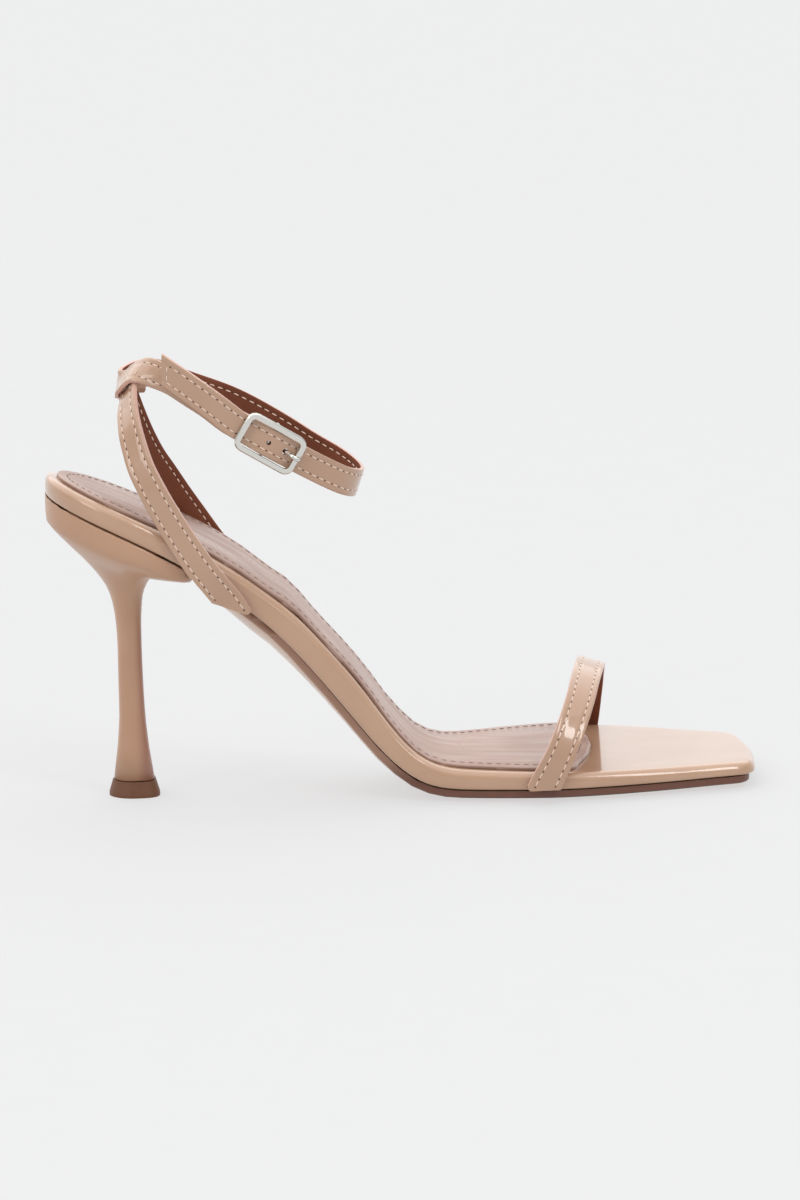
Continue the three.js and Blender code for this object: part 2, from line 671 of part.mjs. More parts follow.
// Ankle strap loop: ahead as a share of LOOP_LENGTH, aside as a share of LOOP_HALF, up as a share of
// LOOP_RISE, lean how many degrees its face is turned up
const LOOP_BEFORE = [
  { ahead: 0.44, aside: -0.985, up: 0.625, lean: 0 },
  { ahead: 0.353, aside: -0.93, up: 0.755, lean: 0 },
  { ahead: 0.28, aside: -0.86, up: 0.845, lean: 0 },
  { ahead: 0.205, aside: -0.72, up: 0.935, lean: 4 },
  { ahead: 0.145, aside: -0.57, up: 0.98, lean: 16 },
  { ahead: 0.1, aside: -0.43, up: 1.0, lean: 32 },
  { ahead: 0.055, aside: -0.28, up: 0.978, lean: 48 },
  { ahead: 0.016, aside: -0.14, up: 0.9, lean: 40 },
  { ahead: 0.0, aside: 0.03, up: 0.858, lean: 10 },
  { ahead: 0.01, aside: 0.22, up: 0.865, lean: 4 },
  { ahead: 0.055, aside: 0.41, up: 0.888, lean: 0 },
  { ahead: 0.14, aside: 0.6, up: 0.902, lean: 0 },
  { ahead: 0.295, aside: 0.81, up: 0.772, lean: 0 },
  { ahead: 0.48, aside: 0.95, up: 0.622, lean: 0 },
  { ahead: 0.665, aside: 0.98, up: 0.42, lean: 0 },
  { ahead: 0.81, aside: 0.9, up: 0.24, lean: -5 },
  { ahead: 0.915, aside: 0.68, up: 0.125, lean: -12 },
  { ahead: 0.972, aside: 0.36, up: 0.05, lean: -18 },
  { ahead: 0.985, aside: 0.0, up: 0.022, lean: -20 },
  { ahead: 0.96, aside: -0.36, up: 0.04, lean: -14 },
  { ahead: 0.9, aside: -0.65, up: 0.095, lean: -6 },
];
const FREE_END = [
  { ahead: 0.375, aside: -1.09, up: 0.745, lean: 0 },
  { ahead: 0.27, aside: -1.02, up: 0.9, lean: 0 },
  { ahead: 0.167, aside: -0.87, up: 1.04, lean: 0 },
];

function ankleRows() {
  const middle = vector(LOOP_BACK + LOOP_LENGTH / 2, 0, 0);
  const onLoop = ({ ahead, aside, up, lean }) => {
    const place = vector(
      LOOP_BACK + ahead * LOOP_LENGTH,
      aside * LOOP_HALF,
      LOOP_FRONT_HEIGHT + up * LOOP_RISE,
    );
    const turn = THREE.MathUtils.degToRad(lean);
    const out = vector(place.x - middle.x, 2 * place.y, 0).normalize();
    out.multiplyScalar(Math.cos(turn)).setZ(Math.sin(turn));
    return { place, out, width: ANKLE_WIDTH, thick: ANKLE };
  };
  const inBuckle = ({ along, out }) => ({
    place: atBuckle(along, out),
    out: outOfStrap,
    width: ANKLE_WIDTH,
    thick: ANKLE,
  });
  const under = [
    { along: EYE / 2, out: underFree },
    { along: -2 * EYE, out: underFree },
    { along: -5 * EYE, out: underFree },
  ];
  const underBars = underBar - STRAP_SLACK;
  const nearEye = overEye - STRAP_SLACK;
  const through = [
    { along: barAt + BUCKLE_BAR, out: underBars },
    { along: barAt - BUCKLE_BAR, out: underBars },
    { along: 2 * EYE, out: nearEye },
    { along: 0, out: overEye },
    { along: -2 * EYE, out: nearEye },
    { along: BUCKLE_BAR - barAt, out: underBars },
    { along: -barAt - BUCKLE_BAR, out: underBars },
  ];
  return [
    ...under.map(inBuckle),
    ...LOOP_BEFORE.map(onLoop),
    ...through.map(inBuckle),
    ...FREE_END.map(onLoop),
  ];
}

// A round bar between two places
function bar(from, to, radius, around = 16) {
  const along = to.clone().sub(from).normalize();
  const aside = vector(0, 0, 1).cross(along).normalize();
  const over = vector(0, 0, 0).crossVectors(along, aside);
  const loop = (middle) =>
    Array.from({ length: around }, (_, i) => {
      const turn = (2 * Math.PI * i) / around;
      return middle
        .clone()
        .addScaledVector(aside, radius * Math.cos(turn))
        .addScaledVector(over, radius * Math.sin(turn))
        .toArray();
    });
  return solid(tube([loop(from), loop(to)]));
}

function block(from, to, low, high, side) {
  const loop = (out) =>
    [
      [from, -side],
      [to, -side],
      [to, side],
      [from, side],
    ].map(([along, across]) => atBuckle(along, out, across).toArray());
  return solid(tube([loop(low), loop(high)]));
}

const pivotBar = (side, radius, around) =>
  bar(atBuckle(0, underFree, -side), atBuckle(0, underFree, side), radius, around);
const prongSlot = block(-EYE - GAP, EYE + GAP, underFree - EYE - GAP, underFree + EYE + GAP / 2, PRONG_SLOT);
const prongHole = bar(
  atBuckle(PRONG_RISE_AT - PRONG * 1.4, underFree),
  atBuckle(PRONG_RISE_AT + PRONG * 1.1, BUCKLE_THICK),
  PRONG / 2 + GAP,
);
const ankleStrap = strap(ankleRows(), 132, FREE_END_SLANT)
  .add(pivotBar(ANKLE_WIDTH / 2, EYE))
  .subtract(pivotBar(BUCKLE_WIDTH, PIVOT / 2 + GAP))
  .subtract(prongSlot)
  .subtract(prongHole);
const ankleUpper = surface(ankleStrap.add(quarter(LATERAL, -1)).add(quarter(MEDIAL, 1)));

// Buckle frame with rounded corners, two posts and the centre bar
function frameLoop(length, width, corner, out) {
  const points = [];
  const steps = 4;
  for (let q = 0; q < 4; q += 1) {
    const sx = q === 0 || q === 3 ? 1 : -1;
    const sy = q < 2 ? 1 : -1;
    for (let i = 0; i <= steps; i += 1) {
      const turn = (Math.PI / 2) * (q + i / steps);
      points.push(
        atBuckle(
          sx * (length / 2 - corner) + corner * Math.cos(turn),
          out,
          sy * (width / 2 - corner) + corner * Math.sin(turn),
        ).toArray(),
      );
    }
  }
  return points;
}

const half = BUCKLE_THICK / 2;
const frameFace = (bevel, out) =>
  frameLoop(BUCKLE_LENGTH - 2 * bevel, BUCKLE_WIDTH - 2 * bevel, BUCKLE_CORNER - bevel, out);
const outerFrame = solid(
  tube([
    frameFace(BUCKLE_BEVEL, -half),
    frameFace(0, BUCKLE_BEVEL - half),
    frameFace(0, half - BUCKLE_BEVEL),
    frameFace(BUCKLE_BEVEL, half),
  ]),
);
const innerLength = BUCKLE_LENGTH - 2 * BUCKLE_BAR;
const innerWidth = BUCKLE_WIDTH - 2 * BUCKLE_BAR;
const innerCorner = BUCKLE_CORNER - BUCKLE_BAR;
const window = solid(
  tube([
    frameLoop(innerLength, innerWidth, innerCorner, -BUCKLE_THICK),
    frameLoop(innerLength, innerWidth, innerCorner, BUCKLE_THICK),
  ]),
);
const postAt = (BUCKLE_WIDTH - BUCKLE_BAR) / 2;
const postEnd = underFree - PIVOT / 2;
const post = (side) => bar(atBuckle(0, 0, side * postAt), atBuckle(0, postEnd, side * postAt), POST, 12);
const buckleFrame = surface(
  outerFrame
    .subtract(window)
    .add(post(1))
    .add(post(-1))
    .add(pivotBar(postAt, PIVOT / 2, 12)),
);

// Prong: a ring on the centre bar and a rod that rises through the strap and rests on the front bar
function rod(places, radius, around, steps) {
  const route = new THREE.CatmullRomCurve3(places, false, 'centripetal');
  const loops = [];
  for (let k = 0; k <= steps; k += 1) {
    const along = route.getTangent(k / steps);
    const over = vector(0, 0, 0).crossVectors(acrossStrap, along).normalize();
    const middle = route.getPoint(k / steps);
    loops.push(
      Array.from({ length: around }, (_, i) => {
        const turn = (2 * Math.PI * i) / around;
        return middle
          .clone()
          .addScaledVector(acrossStrap, radius * Math.cos(turn))
          .addScaledVector(over, radius * Math.sin(turn))
          .toArray();
      }),
    );
  }
  return solid(tube(loops));
}

const prongTop = half + GAP + PRONG / 2;
const ringSide = PRONG_SLOT - GAP;
const ringOut = PIVOT / 2 + GAP + RING_WALL;
const prongRod = rod(
  [
    atBuckle(PRONG_RISE_AT * 0.2, underFree),
    atBuckle(PRONG_RISE_AT * 0.55, underFree + PRONG * 0.15),
    atBuckle(PRONG_RISE_AT * 0.8, underFree + PRONG),
    atBuckle(PRONG_RISE_AT * 1.08, -PRONG * 0.07),
    atBuckle(PRONG_RISE_AT * 1.29, prongTop - PRONG * 0.07),
    atBuckle(barAt + PRONG / 2, prongTop),
  ],
  PRONG / 2,
  12,
  18,
);
const buckleProng = surface(
  prongRod
    .add(pivotBar(ringSide, ringOut))
    .subtract(pivotBar(BUCKLE_WIDTH, PIVOT / 2 + GAP)),
);

const PATENT = { color: 0xc9a18c, roughness: 0.18, metalness: 0 };
const COVER = { color: 0xcaa48e, roughness: 0.38, metalness: 0 };
const LINING = { color: 0xa98e87, roughness: 0.5, metalness: 0 };
const SOLE_LEATHER = { color: 0xa9654a, roughness: 0.55, metalness: 0 };
const TIP = { color: 0x73503a, roughness: 0.6, metalness: 0 };
const NICKEL = { color: 0xd8d4c8, roughness: 0.22, metalness: 1 };

const shoe = new THREE.Group();
const pieces = [
  ['platform', platform, PATENT],
  ['sock', sock, LINING],
  ['outsole', outsole, SOLE_LEATHER],
  ['heel', heel, COVER],
  ['top_piece', topPiece, TIP],
  ['toe_strap', toeStrap, PATENT],
  ['ankle_upper', ankleUpper, PATENT],
  ['buckle_frame', buckleFrame, NICKEL],
  ['buckle_prong', buckleProng, NICKEL],
];
for (const [name, geometry, look] of pieces) {
  const mesh = new THREE.Mesh(geometry, new THREE.MeshStandardMaterial(look));
  mesh.name = name;
  shoe.add(mesh);
}

// The part's origin is the middle of its footprint on the floor
const extent = new THREE.Box3().setFromObject(shoe);
const middle = extent.getCenter(vector(0, 0, 0));
for (const mesh of shoe.children) mesh.position.set(-middle.x, -middle.y, -extent.min.z);

export default shoe;
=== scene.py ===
# %% [markdown]
# # A high ankle strap sandal, dressed over its CAD frame
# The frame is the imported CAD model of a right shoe. It stays the measure of everything here: the
# straps are cut and laid again on the same routes, and the board, sole, heel and buckle keep their
# shapes and get smoother skins and finishes.

import math

import bmesh
import bpy
from mathutils import Matrix, Vector
from mathutils.bvhtree import BVHTree


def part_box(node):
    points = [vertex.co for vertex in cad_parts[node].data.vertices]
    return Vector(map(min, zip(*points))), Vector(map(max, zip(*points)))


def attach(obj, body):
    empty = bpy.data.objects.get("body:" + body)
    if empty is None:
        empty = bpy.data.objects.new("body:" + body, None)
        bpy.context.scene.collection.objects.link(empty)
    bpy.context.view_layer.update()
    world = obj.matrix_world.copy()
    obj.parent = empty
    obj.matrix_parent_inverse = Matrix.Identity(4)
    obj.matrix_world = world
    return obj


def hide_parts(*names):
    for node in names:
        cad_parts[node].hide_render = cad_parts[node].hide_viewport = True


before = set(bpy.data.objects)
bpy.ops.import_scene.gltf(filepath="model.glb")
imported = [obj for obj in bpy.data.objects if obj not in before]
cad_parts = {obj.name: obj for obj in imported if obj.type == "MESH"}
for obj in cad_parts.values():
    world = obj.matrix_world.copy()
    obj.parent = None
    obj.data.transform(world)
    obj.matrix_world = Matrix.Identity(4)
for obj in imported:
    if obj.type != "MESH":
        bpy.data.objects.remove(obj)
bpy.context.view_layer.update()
bpy.ops.object.select_all(action="DESELECT")
print("CAD nodes:", sorted(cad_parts))

# %% [markdown]
# ## Measures
# The shoe was drawn in millimetres from the back of its seat, with the floor at zero. Everything below
# is written in those millimetres, and one function turns a place into metres in the frame. The
# frame puts its origin in the middle of the footprint, so the shift is half the shoe's length and
# the offset of its middle from the heel's line.

# %% Millimetres to the frame
MM = 0.001
SHOE_LENGTH = 223.8
MIDDLE_ASIDE = 2.2328
HEEL_AXIS = 26.2


def place(x, y, z):
    return Vector((x - SHOE_LENGTH / 2, y - MIDDLE_ASIDE, z)) * MM


low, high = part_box("platform")
print("board from", round(low.x / MM, 2), "to", round(high.x / MM, 2), "mm")

# %% [markdown]
# ## Camera
# The photograph was taken with a long lens from a little above and a little behind square, so lines
# barely converge. The camera stands 2.6 m away with the matching focal length, and
# its axes are given as three directions, because a matrix holds the small roll as well.

# %% Set the camera
CAMERA_AT = (-136.52, -2538.559, 554.921)
RIGHT = Vector((0.995753, -0.09046, -0.017132))
UP = Vector((0.034014, 0.188533, 0.981478))
FORWARD = Vector((0.085554, 0.977892, -0.190809))
FOCAL_PIXELS = 8190
PHOTO_HEIGHT = 1200
SENSOR = 36.0

lens = bpy.data.cameras.new("camera")
lens.sensor_fit = "VERTICAL"
lens.sensor_height = SENSOR
lens.lens = SENSOR * FOCAL_PIXELS / PHOTO_HEIGHT
lens.clip_end = 50
camera = bpy.data.objects.new("camera", lens)
bpy.context.scene.collection.objects.link(camera)
turn = Matrix((RIGHT, UP, -FORWARD)).transposed().to_4x4()
camera.matrix_world = Matrix.Translation(
    place(CAMERA_AT[0] + HEEL_AXIS, CAMERA_AT[1], CAMERA_AT[2])
) @ turn
bpy.context.scene.camera = camera
print("lens", round(lens.lens, 1), "mm")

# %% [markdown]
# ## Floor and light
# The shoe stands on pale seamless paper under soft light. Patent leather shows its surroundings, so
# most light comes from a wide bright ceiling, which pales what looks up, while the room in
# front stays dimmer and leaves the sides their full colour. A panel in front lights the near side,
# and a narrow one stands in for the window whose bright line runs down the toe strap.

# %% Floor
FLOOR = 9.0
bpy.ops.mesh.primitive_plane_add(size=FLOOR, location=(0, 0, 0))
floor = bpy.context.object
floor.name = "floor"
print("floor:", FLOOR, "m wide")

# %% Lamps
SHOE_MIDDLE = Vector((0, 0, 0.06))
LAMPS = [
    {"name": "front_left", "at": (-1.9, -1.6, 1.5), "size": (1.0, 1.4), "watts": 12},
    {"name": "window", "at": (1.2, -1.58, 1.7), "size": (0.4, 1.3), "watts": 13},
]
for lamp in LAMPS:
    data = bpy.data.lights.new(lamp["name"], "AREA")
    data.shape = "RECTANGLE"
    data.size, data.size_y = lamp["size"]
    data.energy = lamp["watts"]
    panel = bpy.data.objects.new(lamp["name"], data)
    bpy.context.scene.collection.objects.link(panel)
    panel.location = lamp["at"]
    aim = SHOE_MIDDLE - Vector(lamp["at"])
    panel.rotation_euler = aim.to_track_quat("-Z", "Y").to_euler()
print("lamps:", len(LAMPS))

# %% Ceiling
CEILING_SPREAD, CEILING_STRENGTH = 110, 1.75
CEILING_TILT = (-14, -10, 0)
sky = bpy.data.lights.new("ceiling", "SUN")
sky.angle = math.radians(CEILING_SPREAD)
sky.energy = CEILING_STRENGTH
ceiling = bpy.data.objects.new("ceiling", sky)
bpy.context.scene.collection.objects.link(ceiling)
ceiling.rotation_euler = [math.radians(turned) for turned in CEILING_TILT]
print("ceiling spread over", CEILING_SPREAD, "degrees")

# %% Room
WALL_FRONT, WALL_BEHIND = 0.6, 1.05
FADE_FRONT, FADE_BEHIND = -0.1, 0.7
WALL_COLOUR = (0.99, 0.995, 1.0, 1)
FADE = {
    "From Min": FADE_FRONT,
    "From Max": FADE_BEHIND,
    "To Min": WALL_FRONT,
    "To Max": WALL_BEHIND,
}
room = bpy.data.worlds.new("room")
bpy.context.scene.world = room
room.use_nodes = True
tree = room.node_tree
way = tree.nodes.new("ShaderNodeTexCoord")
split = tree.nodes.new("ShaderNodeSeparateXYZ")
tree.links.new(way.outputs["Generated"], split.inputs["Vector"])
fade = tree.nodes.new("ShaderNodeMapRange")
fade.interpolation_type = "SMOOTHSTEP"
for name, value in FADE.items():
    fade.inputs[name].default_value = value
tree.links.new(split.outputs["Y"], fade.inputs["Value"])
backdrop = tree.nodes["Background"]
backdrop.inputs["Color"].default_value = WALL_COLOUR
tree.links.new(fade.outputs["Result"], backdrop.inputs["Strength"])
bpy.context.scene.view_settings.view_transform = "Standard"
print("walls from", WALL_FRONT, "in front to", WALL_BEHIND, "behind")

# %% [markdown]
# ## A small kit for materials
# A finish is a chain of nodes. Written out, each node takes four lines, so a socket is wrapped in a
# class that adds and multiplies like a number, and one method makes any other node from
# its type, settings and sockets.


# %% Sockets that add and multiply
class Wire:
    """A node's output that can be used in sums."""

    def __init__(self, finish, socket):
        self.finish = finish
        self.socket = socket

    def sum(self, operation, *others):
        node = self.finish.make("ShaderNodeMath", {"operation": operation})
        for entry, value in zip(node.inputs, others):
            self.finish.join(value, entry)
        return Wire(self.finish, node.outputs[0])

    def __add__(self, other):
        return self.sum("ADD", self, other)

    __radd__ = __add__

    def __sub__(self, other):
        return self.sum("SUBTRACT", self, other)

    def __rsub__(self, other):
        return self.sum("SUBTRACT", other, self)

    def __mul__(self, other):
        return self.sum("MULTIPLY", self, other)

    __rmul__ = __mul__

    def __truediv__(self, other):
        return self.sum("DIVIDE", self, other)

    def __rtruediv__(self, other):
        return self.sum("DIVIDE", other, self)

    def size(self):
        return self.sum("ABSOLUTE", self)

    def wrap(self, period):
        return self.sum("FLOORED_MODULO", self, period)

    def ramp(self, start, end):
        """0 before start, 1 after end, smooth between, so it makes soft masks."""
        node = self.finish.make("ShaderNodeMapRange", {"interpolation_type": "SMOOTHSTEP"})
        for name, value in (("Value", self), ("From Min", start), ("From Max", end)):
            self.finish.join(value, node.inputs[name])
        return Wire(self.finish, node.outputs[0])


print("wires add, subtract, multiply and divide")


# %% A finish
class Finish:
    """A material with one shader, and short ways to feed it."""

    def __init__(self, name, colour, roughness, **fixed):
        self.material = bpy.data.materials.new(name)
        self.material.use_nodes = True
        self.tree = self.material.node_tree
        self.shader = self.tree.nodes["Principled BSDF"]
        self.set("Base Color", (*colour, 1))
        self.set("Roughness", roughness)
        for socket, value in fixed.items():
            self.set(socket.replace("_", " "), value)
        self.material.diffuse_color = (*colour, 1)

    def set(self, socket, value):
        self.join(value, self.shader.inputs[socket])

    def join(self, value, entry):
        if isinstance(value, Wire):
            self.tree.links.new(value.socket, entry)
        else:
            entry.default_value = value

    def make(self, kind, settings=None, sockets=None):
        node = self.tree.nodes.new(kind)
        for name, value in (settings or {}).items():
            setattr(node, name, value)
        for name, value in (sockets or {}).items():
            self.join(value, node.inputs[name])
        return node

    def read(self, kind, output, settings=None, sockets=None):
        return Wire(self, self.make(kind, settings, sockets).outputs[output])

    def where(self):
        return self.read("ShaderNodeTexCoord", "Object")

    def axes(self, vector):
        split = self.make("ShaderNodeSeparateXYZ", sockets={"Vector": vector})
        return [Wire(self, output) for output in split.outputs]

    def noise(self, vector, scale, detail=2.0, roughness=0.5):
        sockets = {"Vector": vector, "Scale": scale, "Detail": detail, "Roughness": roughness}
        return self.read("ShaderNodeTexNoise", "Fac", sockets=sockets)

    def blend(self, share, first, second):
        node = self.make("ShaderNodeMix", {"data_type": "RGBA"})
        entries = [e for e in node.inputs if e.type == "RGBA"]
        self.join(share, node.inputs["Factor"])
        for entry, value in zip(entries, (first, second)):
            self.join(value if isinstance(value, Wire) else (*value, 1), entry)
        return Wire(self, [o for o in node.outputs if o.type == "RGBA"][0])

    def bump(self, height, strength, distance, below=None):
        sockets = {"Height": height, "Strength": strength, "Distance": distance}
        if below is not None:
            sockets["Normal"] = below
        return self.read("ShaderNodeBump", "Normal", sockets=sockets)


print("a finish reads, blends and bumps")

# %% [markdown]
# ## Patent leather
# Patent is fine leather under a clear varnish. The colour is a warm nude with faint clouds, and the
# gloss comes from a coat over a base that is only half smooth. The varnish is never quite
# flat: a broad, low bump makes the reflections swim, and the grain beneath is nearly lost. Where a
# strap is stitched, each needle hole is a dot painted dark as the shade inside it, found from the flat
# pattern of the strap, which is kept as a UV map in millimetres.

# %% Needle holes
PITCH = 2.75
ROW = 2.55
HOLE = 0.27
HOLE_RIM = (0.6, 1.3)
# painted shade: the dark colour drawn into each needle hole for the shade inside it
HOLE_SHADE = (0.09, 0.035, 0.02)


def needle_holes(finish):
    """1 at the holes between the stitches of both rows, from the UV map in millimetres."""
    along, across, _ = finish.axes(finish.read("ShaderNodeUVMap", "UV", {"uv_map": "cut"}))
    near_row = (across.size() - ROW) / HOLE
    near_hole = (along.wrap(PITCH) - PITCH / 2) / HOLE
    return 1 - (near_row * near_row + near_hole * near_hole).ramp(*HOLE_RIM)


print("needle holes every", PITCH, "mm")

# %% Patent
NUDE = (0.49, 0.3, 0.19)
NUDE_DEEP = (0.45, 0.262, 0.162)
STRAP_NUDE = (0.46, 0.28, 0.182)
STRAP_DEEP = (0.42, 0.248, 0.158)


def patent(name, light, deep, stitched):
    finish = Finish(name, light, 0.3, Coat_Weight=1.0, Coat_Roughness=0.045, Coat_IOR=1.5)
    spot = finish.where()
    clouds = finish.noise(spot, scale=38, detail=3)
    colour = finish.blend(clouds.ramp(0.3, 0.75), light, deep)
    swim = finish.noise(spot, scale=95, detail=1)
    grain = finish.noise(spot, scale=1900, detail=2)
    height = swim + grain * 0.03
    normal = finish.bump(height, strength=0.35, distance=0.0004)
    if stitched:
        holes = needle_holes(finish)
        # painted shade: the needle holes are drawn dark on the patent
        colour = finish.blend(holes, colour, HOLE_SHADE)
        normal = finish.bump(1 - holes, strength=0.6, distance=0.0003, below=normal)
        finish.set("Coat Weight", 1 - holes * 0.9)
    finish.set("Base Color", colour)
    finish.set("Roughness", clouds * 0.12 + 0.24)
    finish.set("Normal", normal)
    return finish.material


PATENT = patent("patent_leather", NUDE, NUDE_DEEP, False)
STRAP_PATENT = patent("strap_patent_leather", STRAP_NUDE, STRAP_DEEP, True)
print("patent:", PATENT.name, STRAP_PATENT.name)

# %% [markdown]
# ## Lining, edges, thread
# The straps are lined with brown leather, which shows inside the ankle loop. Their cut edges are
# painted a pinker nude. The thread is pale, thick and slightly hairy.


# %% Lining, edge and thread finishes
def lining():
    finish = Finish("strap_lining", (0.17, 0.05, 0.022), 0.6, Specular_IOR_Level=0.2)
    spot = finish.where()
    clouds = finish.noise(spot, scale=60, detail=3)
    grain = finish.noise(spot, scale=900, detail=4, roughness=0.6)
    holes = needle_holes(finish)
    colour = finish.blend(clouds.ramp(0.3, 0.7), (0.195, 0.06, 0.03), (0.155, 0.046, 0.022))
    # painted shade: the needle holes are drawn dark on the lining too
    finish.set("Base Color", finish.blend(holes, colour, HOLE_SHADE))
    finish.set("Roughness", grain * 0.2 + 0.5)
    finish.set("Normal", finish.bump(grain - holes, strength=0.35, distance=0.0002))
    return finish.material


def cut_edge():
    finish = Finish("painted_edge", (0.66, 0.4, 0.32), 0.42, Coat_Weight=0.3)
    spot = finish.where()
    drag = finish.noise(spot, scale=420, detail=3)
    finish.set("Base Color", finish.blend(drag, (0.7, 0.44, 0.36), (0.58, 0.33, 0.26)))
    finish.set("Normal", finish.bump(drag, strength=0.3, distance=0.0002))
    return finish.material


def thread():
    finish = Finish("thread", (0.88, 0.7, 0.58), 0.6, Sheen_Weight=0.3)
    spot = finish.where()
    strands = finish.noise(spot, scale=2600, detail=2)
    finish.set("Base Color", finish.blend(strands, (0.9, 0.72, 0.6), (0.74, 0.54, 0.42)))
    finish.set("Normal", finish.bump(strands, strength=0.5, distance=0.0001))
    return finish.material


STRAP_FACES = [STRAP_PATENT, lining(), cut_edge()]
THREAD = thread()
print("strap finishes:", [m.name for m in STRAP_FACES])

# %% [markdown]
# ## Routes of the straps
# A strap is a flat ribbon that somebody lays on a foot. Its route is a smooth curve through rows of
# places, with the way the ribbon faces at each. The rows are those of the CAD model, so the laid
# strap fills the same space. The curve is the centripetal kind, which passes through every row
# without loops.


# %% A route through rows
class Route:
    """Rows of (place, facing, width) joined by a smooth curve, read by the distance along it."""

    STEPS = 40
    SHORTEST = 1e-9

    def __init__(self, rows):
        self.spots = []
        self.facings = []
        self.widths = []
        places = [row[0] for row in rows]
        last = len(rows) - 1
        for i in range(last):
            for k in range(self.STEPS + (i == last - 1)):
                mix = k / self.STEPS
                self.spots.append(self.between(places, i, mix))
                self.facings.append(rows[i][1].lerp(rows[i + 1][1], mix))
                self.widths.append(rows[i][2] * (1 - mix) + rows[i + 1][2] * mix)
        self.marks = [0.0]
        for a, b in zip(self.spots, self.spots[1:]):
            self.marks.append(self.marks[-1] + (b - a).length)
        self.length = self.marks[-1]

    def between(self, places, i, mix):
        b, c = places[i], places[i + 1]
        a = places[i - 1] if i else b + (b - c)
        d = places[i + 2] if i + 2 < len(places) else c + (c - b)
        spans = [(q - p).length for p, q in ((a, b), (b, c), (c, d))]
        first, middle, third = (max(span, self.SHORTEST) ** 0.5 for span in spans)
        start = ((b - a) / first - (c - a) / (first + middle) + (c - b) / middle) * middle
        end = ((c - b) / middle - (d - b) / (middle + third) + (d - c) / third) * middle
        bend = 3 * (c - b) - 2 * start - end
        twist = 2 * (b - c) + start + end
        return b + start * mix + bend * mix**2 + twist * mix**3

    def at(self, along):
        """Place, direction, side, facing and width this far along, past the ends in a straight line."""
        i = 0
        top = len(self.marks) - 2
        step = top
        while step > 0:
            while i + step <= top and self.marks[i + step] <= along:
                i += step
            step //= 2
        a, b = self.spots[i], self.spots[i + 1]
        mix = (along - self.marks[i]) / (self.marks[i + 1] - self.marks[i])
        ahead = (self.spots[min(i + 2, top + 1)] - self.spots[max(i - 1, 0)]).normalized()
        facing = self.facings[i].lerp(self.facings[i + 1], min(max(mix, 0), 1))
        facing = (facing - ahead * facing.dot(ahead)).normalized()
        width = self.widths[i] + (self.widths[i + 1] - self.widths[i]) * min(max(mix, 0), 1)
        return a.lerp(b, mix), ahead, ahead.cross(facing), facing, width


print("each stretch of a route is read in", Route.STEPS, "steps")

# %% [markdown]
# ## Cutting a strap
# On the bench a strap is a long rectangle of leather on lining. It starts as a cube of the right
# length, width and thickness. Its four long edges are bevelled round, and it is divided along and
# across so that it can bend. Its flat measures go into a UV map before it is laid, and from then on
# the finish follows the leather, not the room.

# %% Cut
CUT_WIDTH = 9.0
ACROSS_CUTS = 15
EDGE_ROUND = 0.28
EDGE_STEPS = 3


def select_edges(piece, axis, longer):
    """In edit mode, the edges that run along an axis for more than a length."""
    bpy.ops.object.mode_set(mode="EDIT")
    bpy.ops.mesh.select_all(action="DESELECT")
    bpy.ops.mesh.select_mode(type="EDGE")
    bpy.ops.object.mode_set(mode="OBJECT")
    points = piece.data.vertices
    for edge in piece.data.edges:
        a, b = (points[v].co for v in edge.vertices)
        edge.select = abs((b - a)[axis]) > longer
    bpy.ops.object.mode_set(mode="EDIT")


def cut_strap(name, length, thick, every=1.4):
    """A flat strap from x = 0 to its length, in millimetres, outer side up."""
    bpy.ops.object.select_all(action="DESELECT")
    bpy.ops.mesh.primitive_cube_add(size=1, location=(0, 0, 0))
    piece = bpy.context.object
    piece.name = name
    piece.scale = (length, CUT_WIDTH, thick)
    bpy.ops.object.transform_apply(location=False, rotation=False, scale=True)
    piece.data.transform(Matrix.Translation((length / 2, 0, 0)))
    select_edges(piece, 0, length / 2)
    bpy.ops.mesh.bevel(offset=thick * EDGE_ROUND, segments=EDGE_STEPS)
    bpy.ops.object.mode_set(mode="OBJECT")
    for axis, longer, cuts in ((1, CUT_WIDTH / 2, ACROSS_CUTS), (0, length / 2, int(length / every))):
        select_edges(piece, axis, longer)
        bpy.ops.mesh.subdivide(number_cuts=cuts)
        bpy.ops.object.mode_set(mode="OBJECT")
    return piece


print("straps are cut", CUT_WIDTH, "mm wide")

# %% Mark
TOP, LINED, EDGE = 0, 1, 2
FLAT_FACING = 0.5
OFF_STRAP = 100


def mark_faces(piece, bare=()):
    """Outer, lining and edge faces get their finishes, and the flat measures become the UV map.

    Within the bare stretches the map lies off the strap, so no needle holes are drawn there.
    """
    mesh = piece.data
    for material in STRAP_FACES:
        mesh.materials.append(material)
    pattern = mesh.uv_layers.new(name="cut")
    mesh.uv_layers.active = pattern
    for face in mesh.polygons:
        lift = face.normal.z
        face.material_index = TOP if lift > FLAT_FACING else LINED if lift < -FLAT_FACING else EDGE
        for loop in face.loop_indices:
            flat = mesh.vertices[mesh.loops[loop].vertex_index].co
            unsewn = any(start < flat.x < end for start, end in bare)
            pattern.data[loop].uv = (flat.x, OFF_STRAP if unsewn else flat.y)


print("faces:", TOP, "outer,", LINED, "lining,", EDGE, "edge")

# %% Lay
GROOVE, GROOVE_WIDTH = 0.14, 0.45
STRAP_CREASE = 50


def pick(piece):
    """Makes a piece the only selected one, and the active one."""
    bpy.ops.object.select_all(action="DESELECT")
    piece.select_set(True)
    bpy.context.view_layer.objects.active = piece


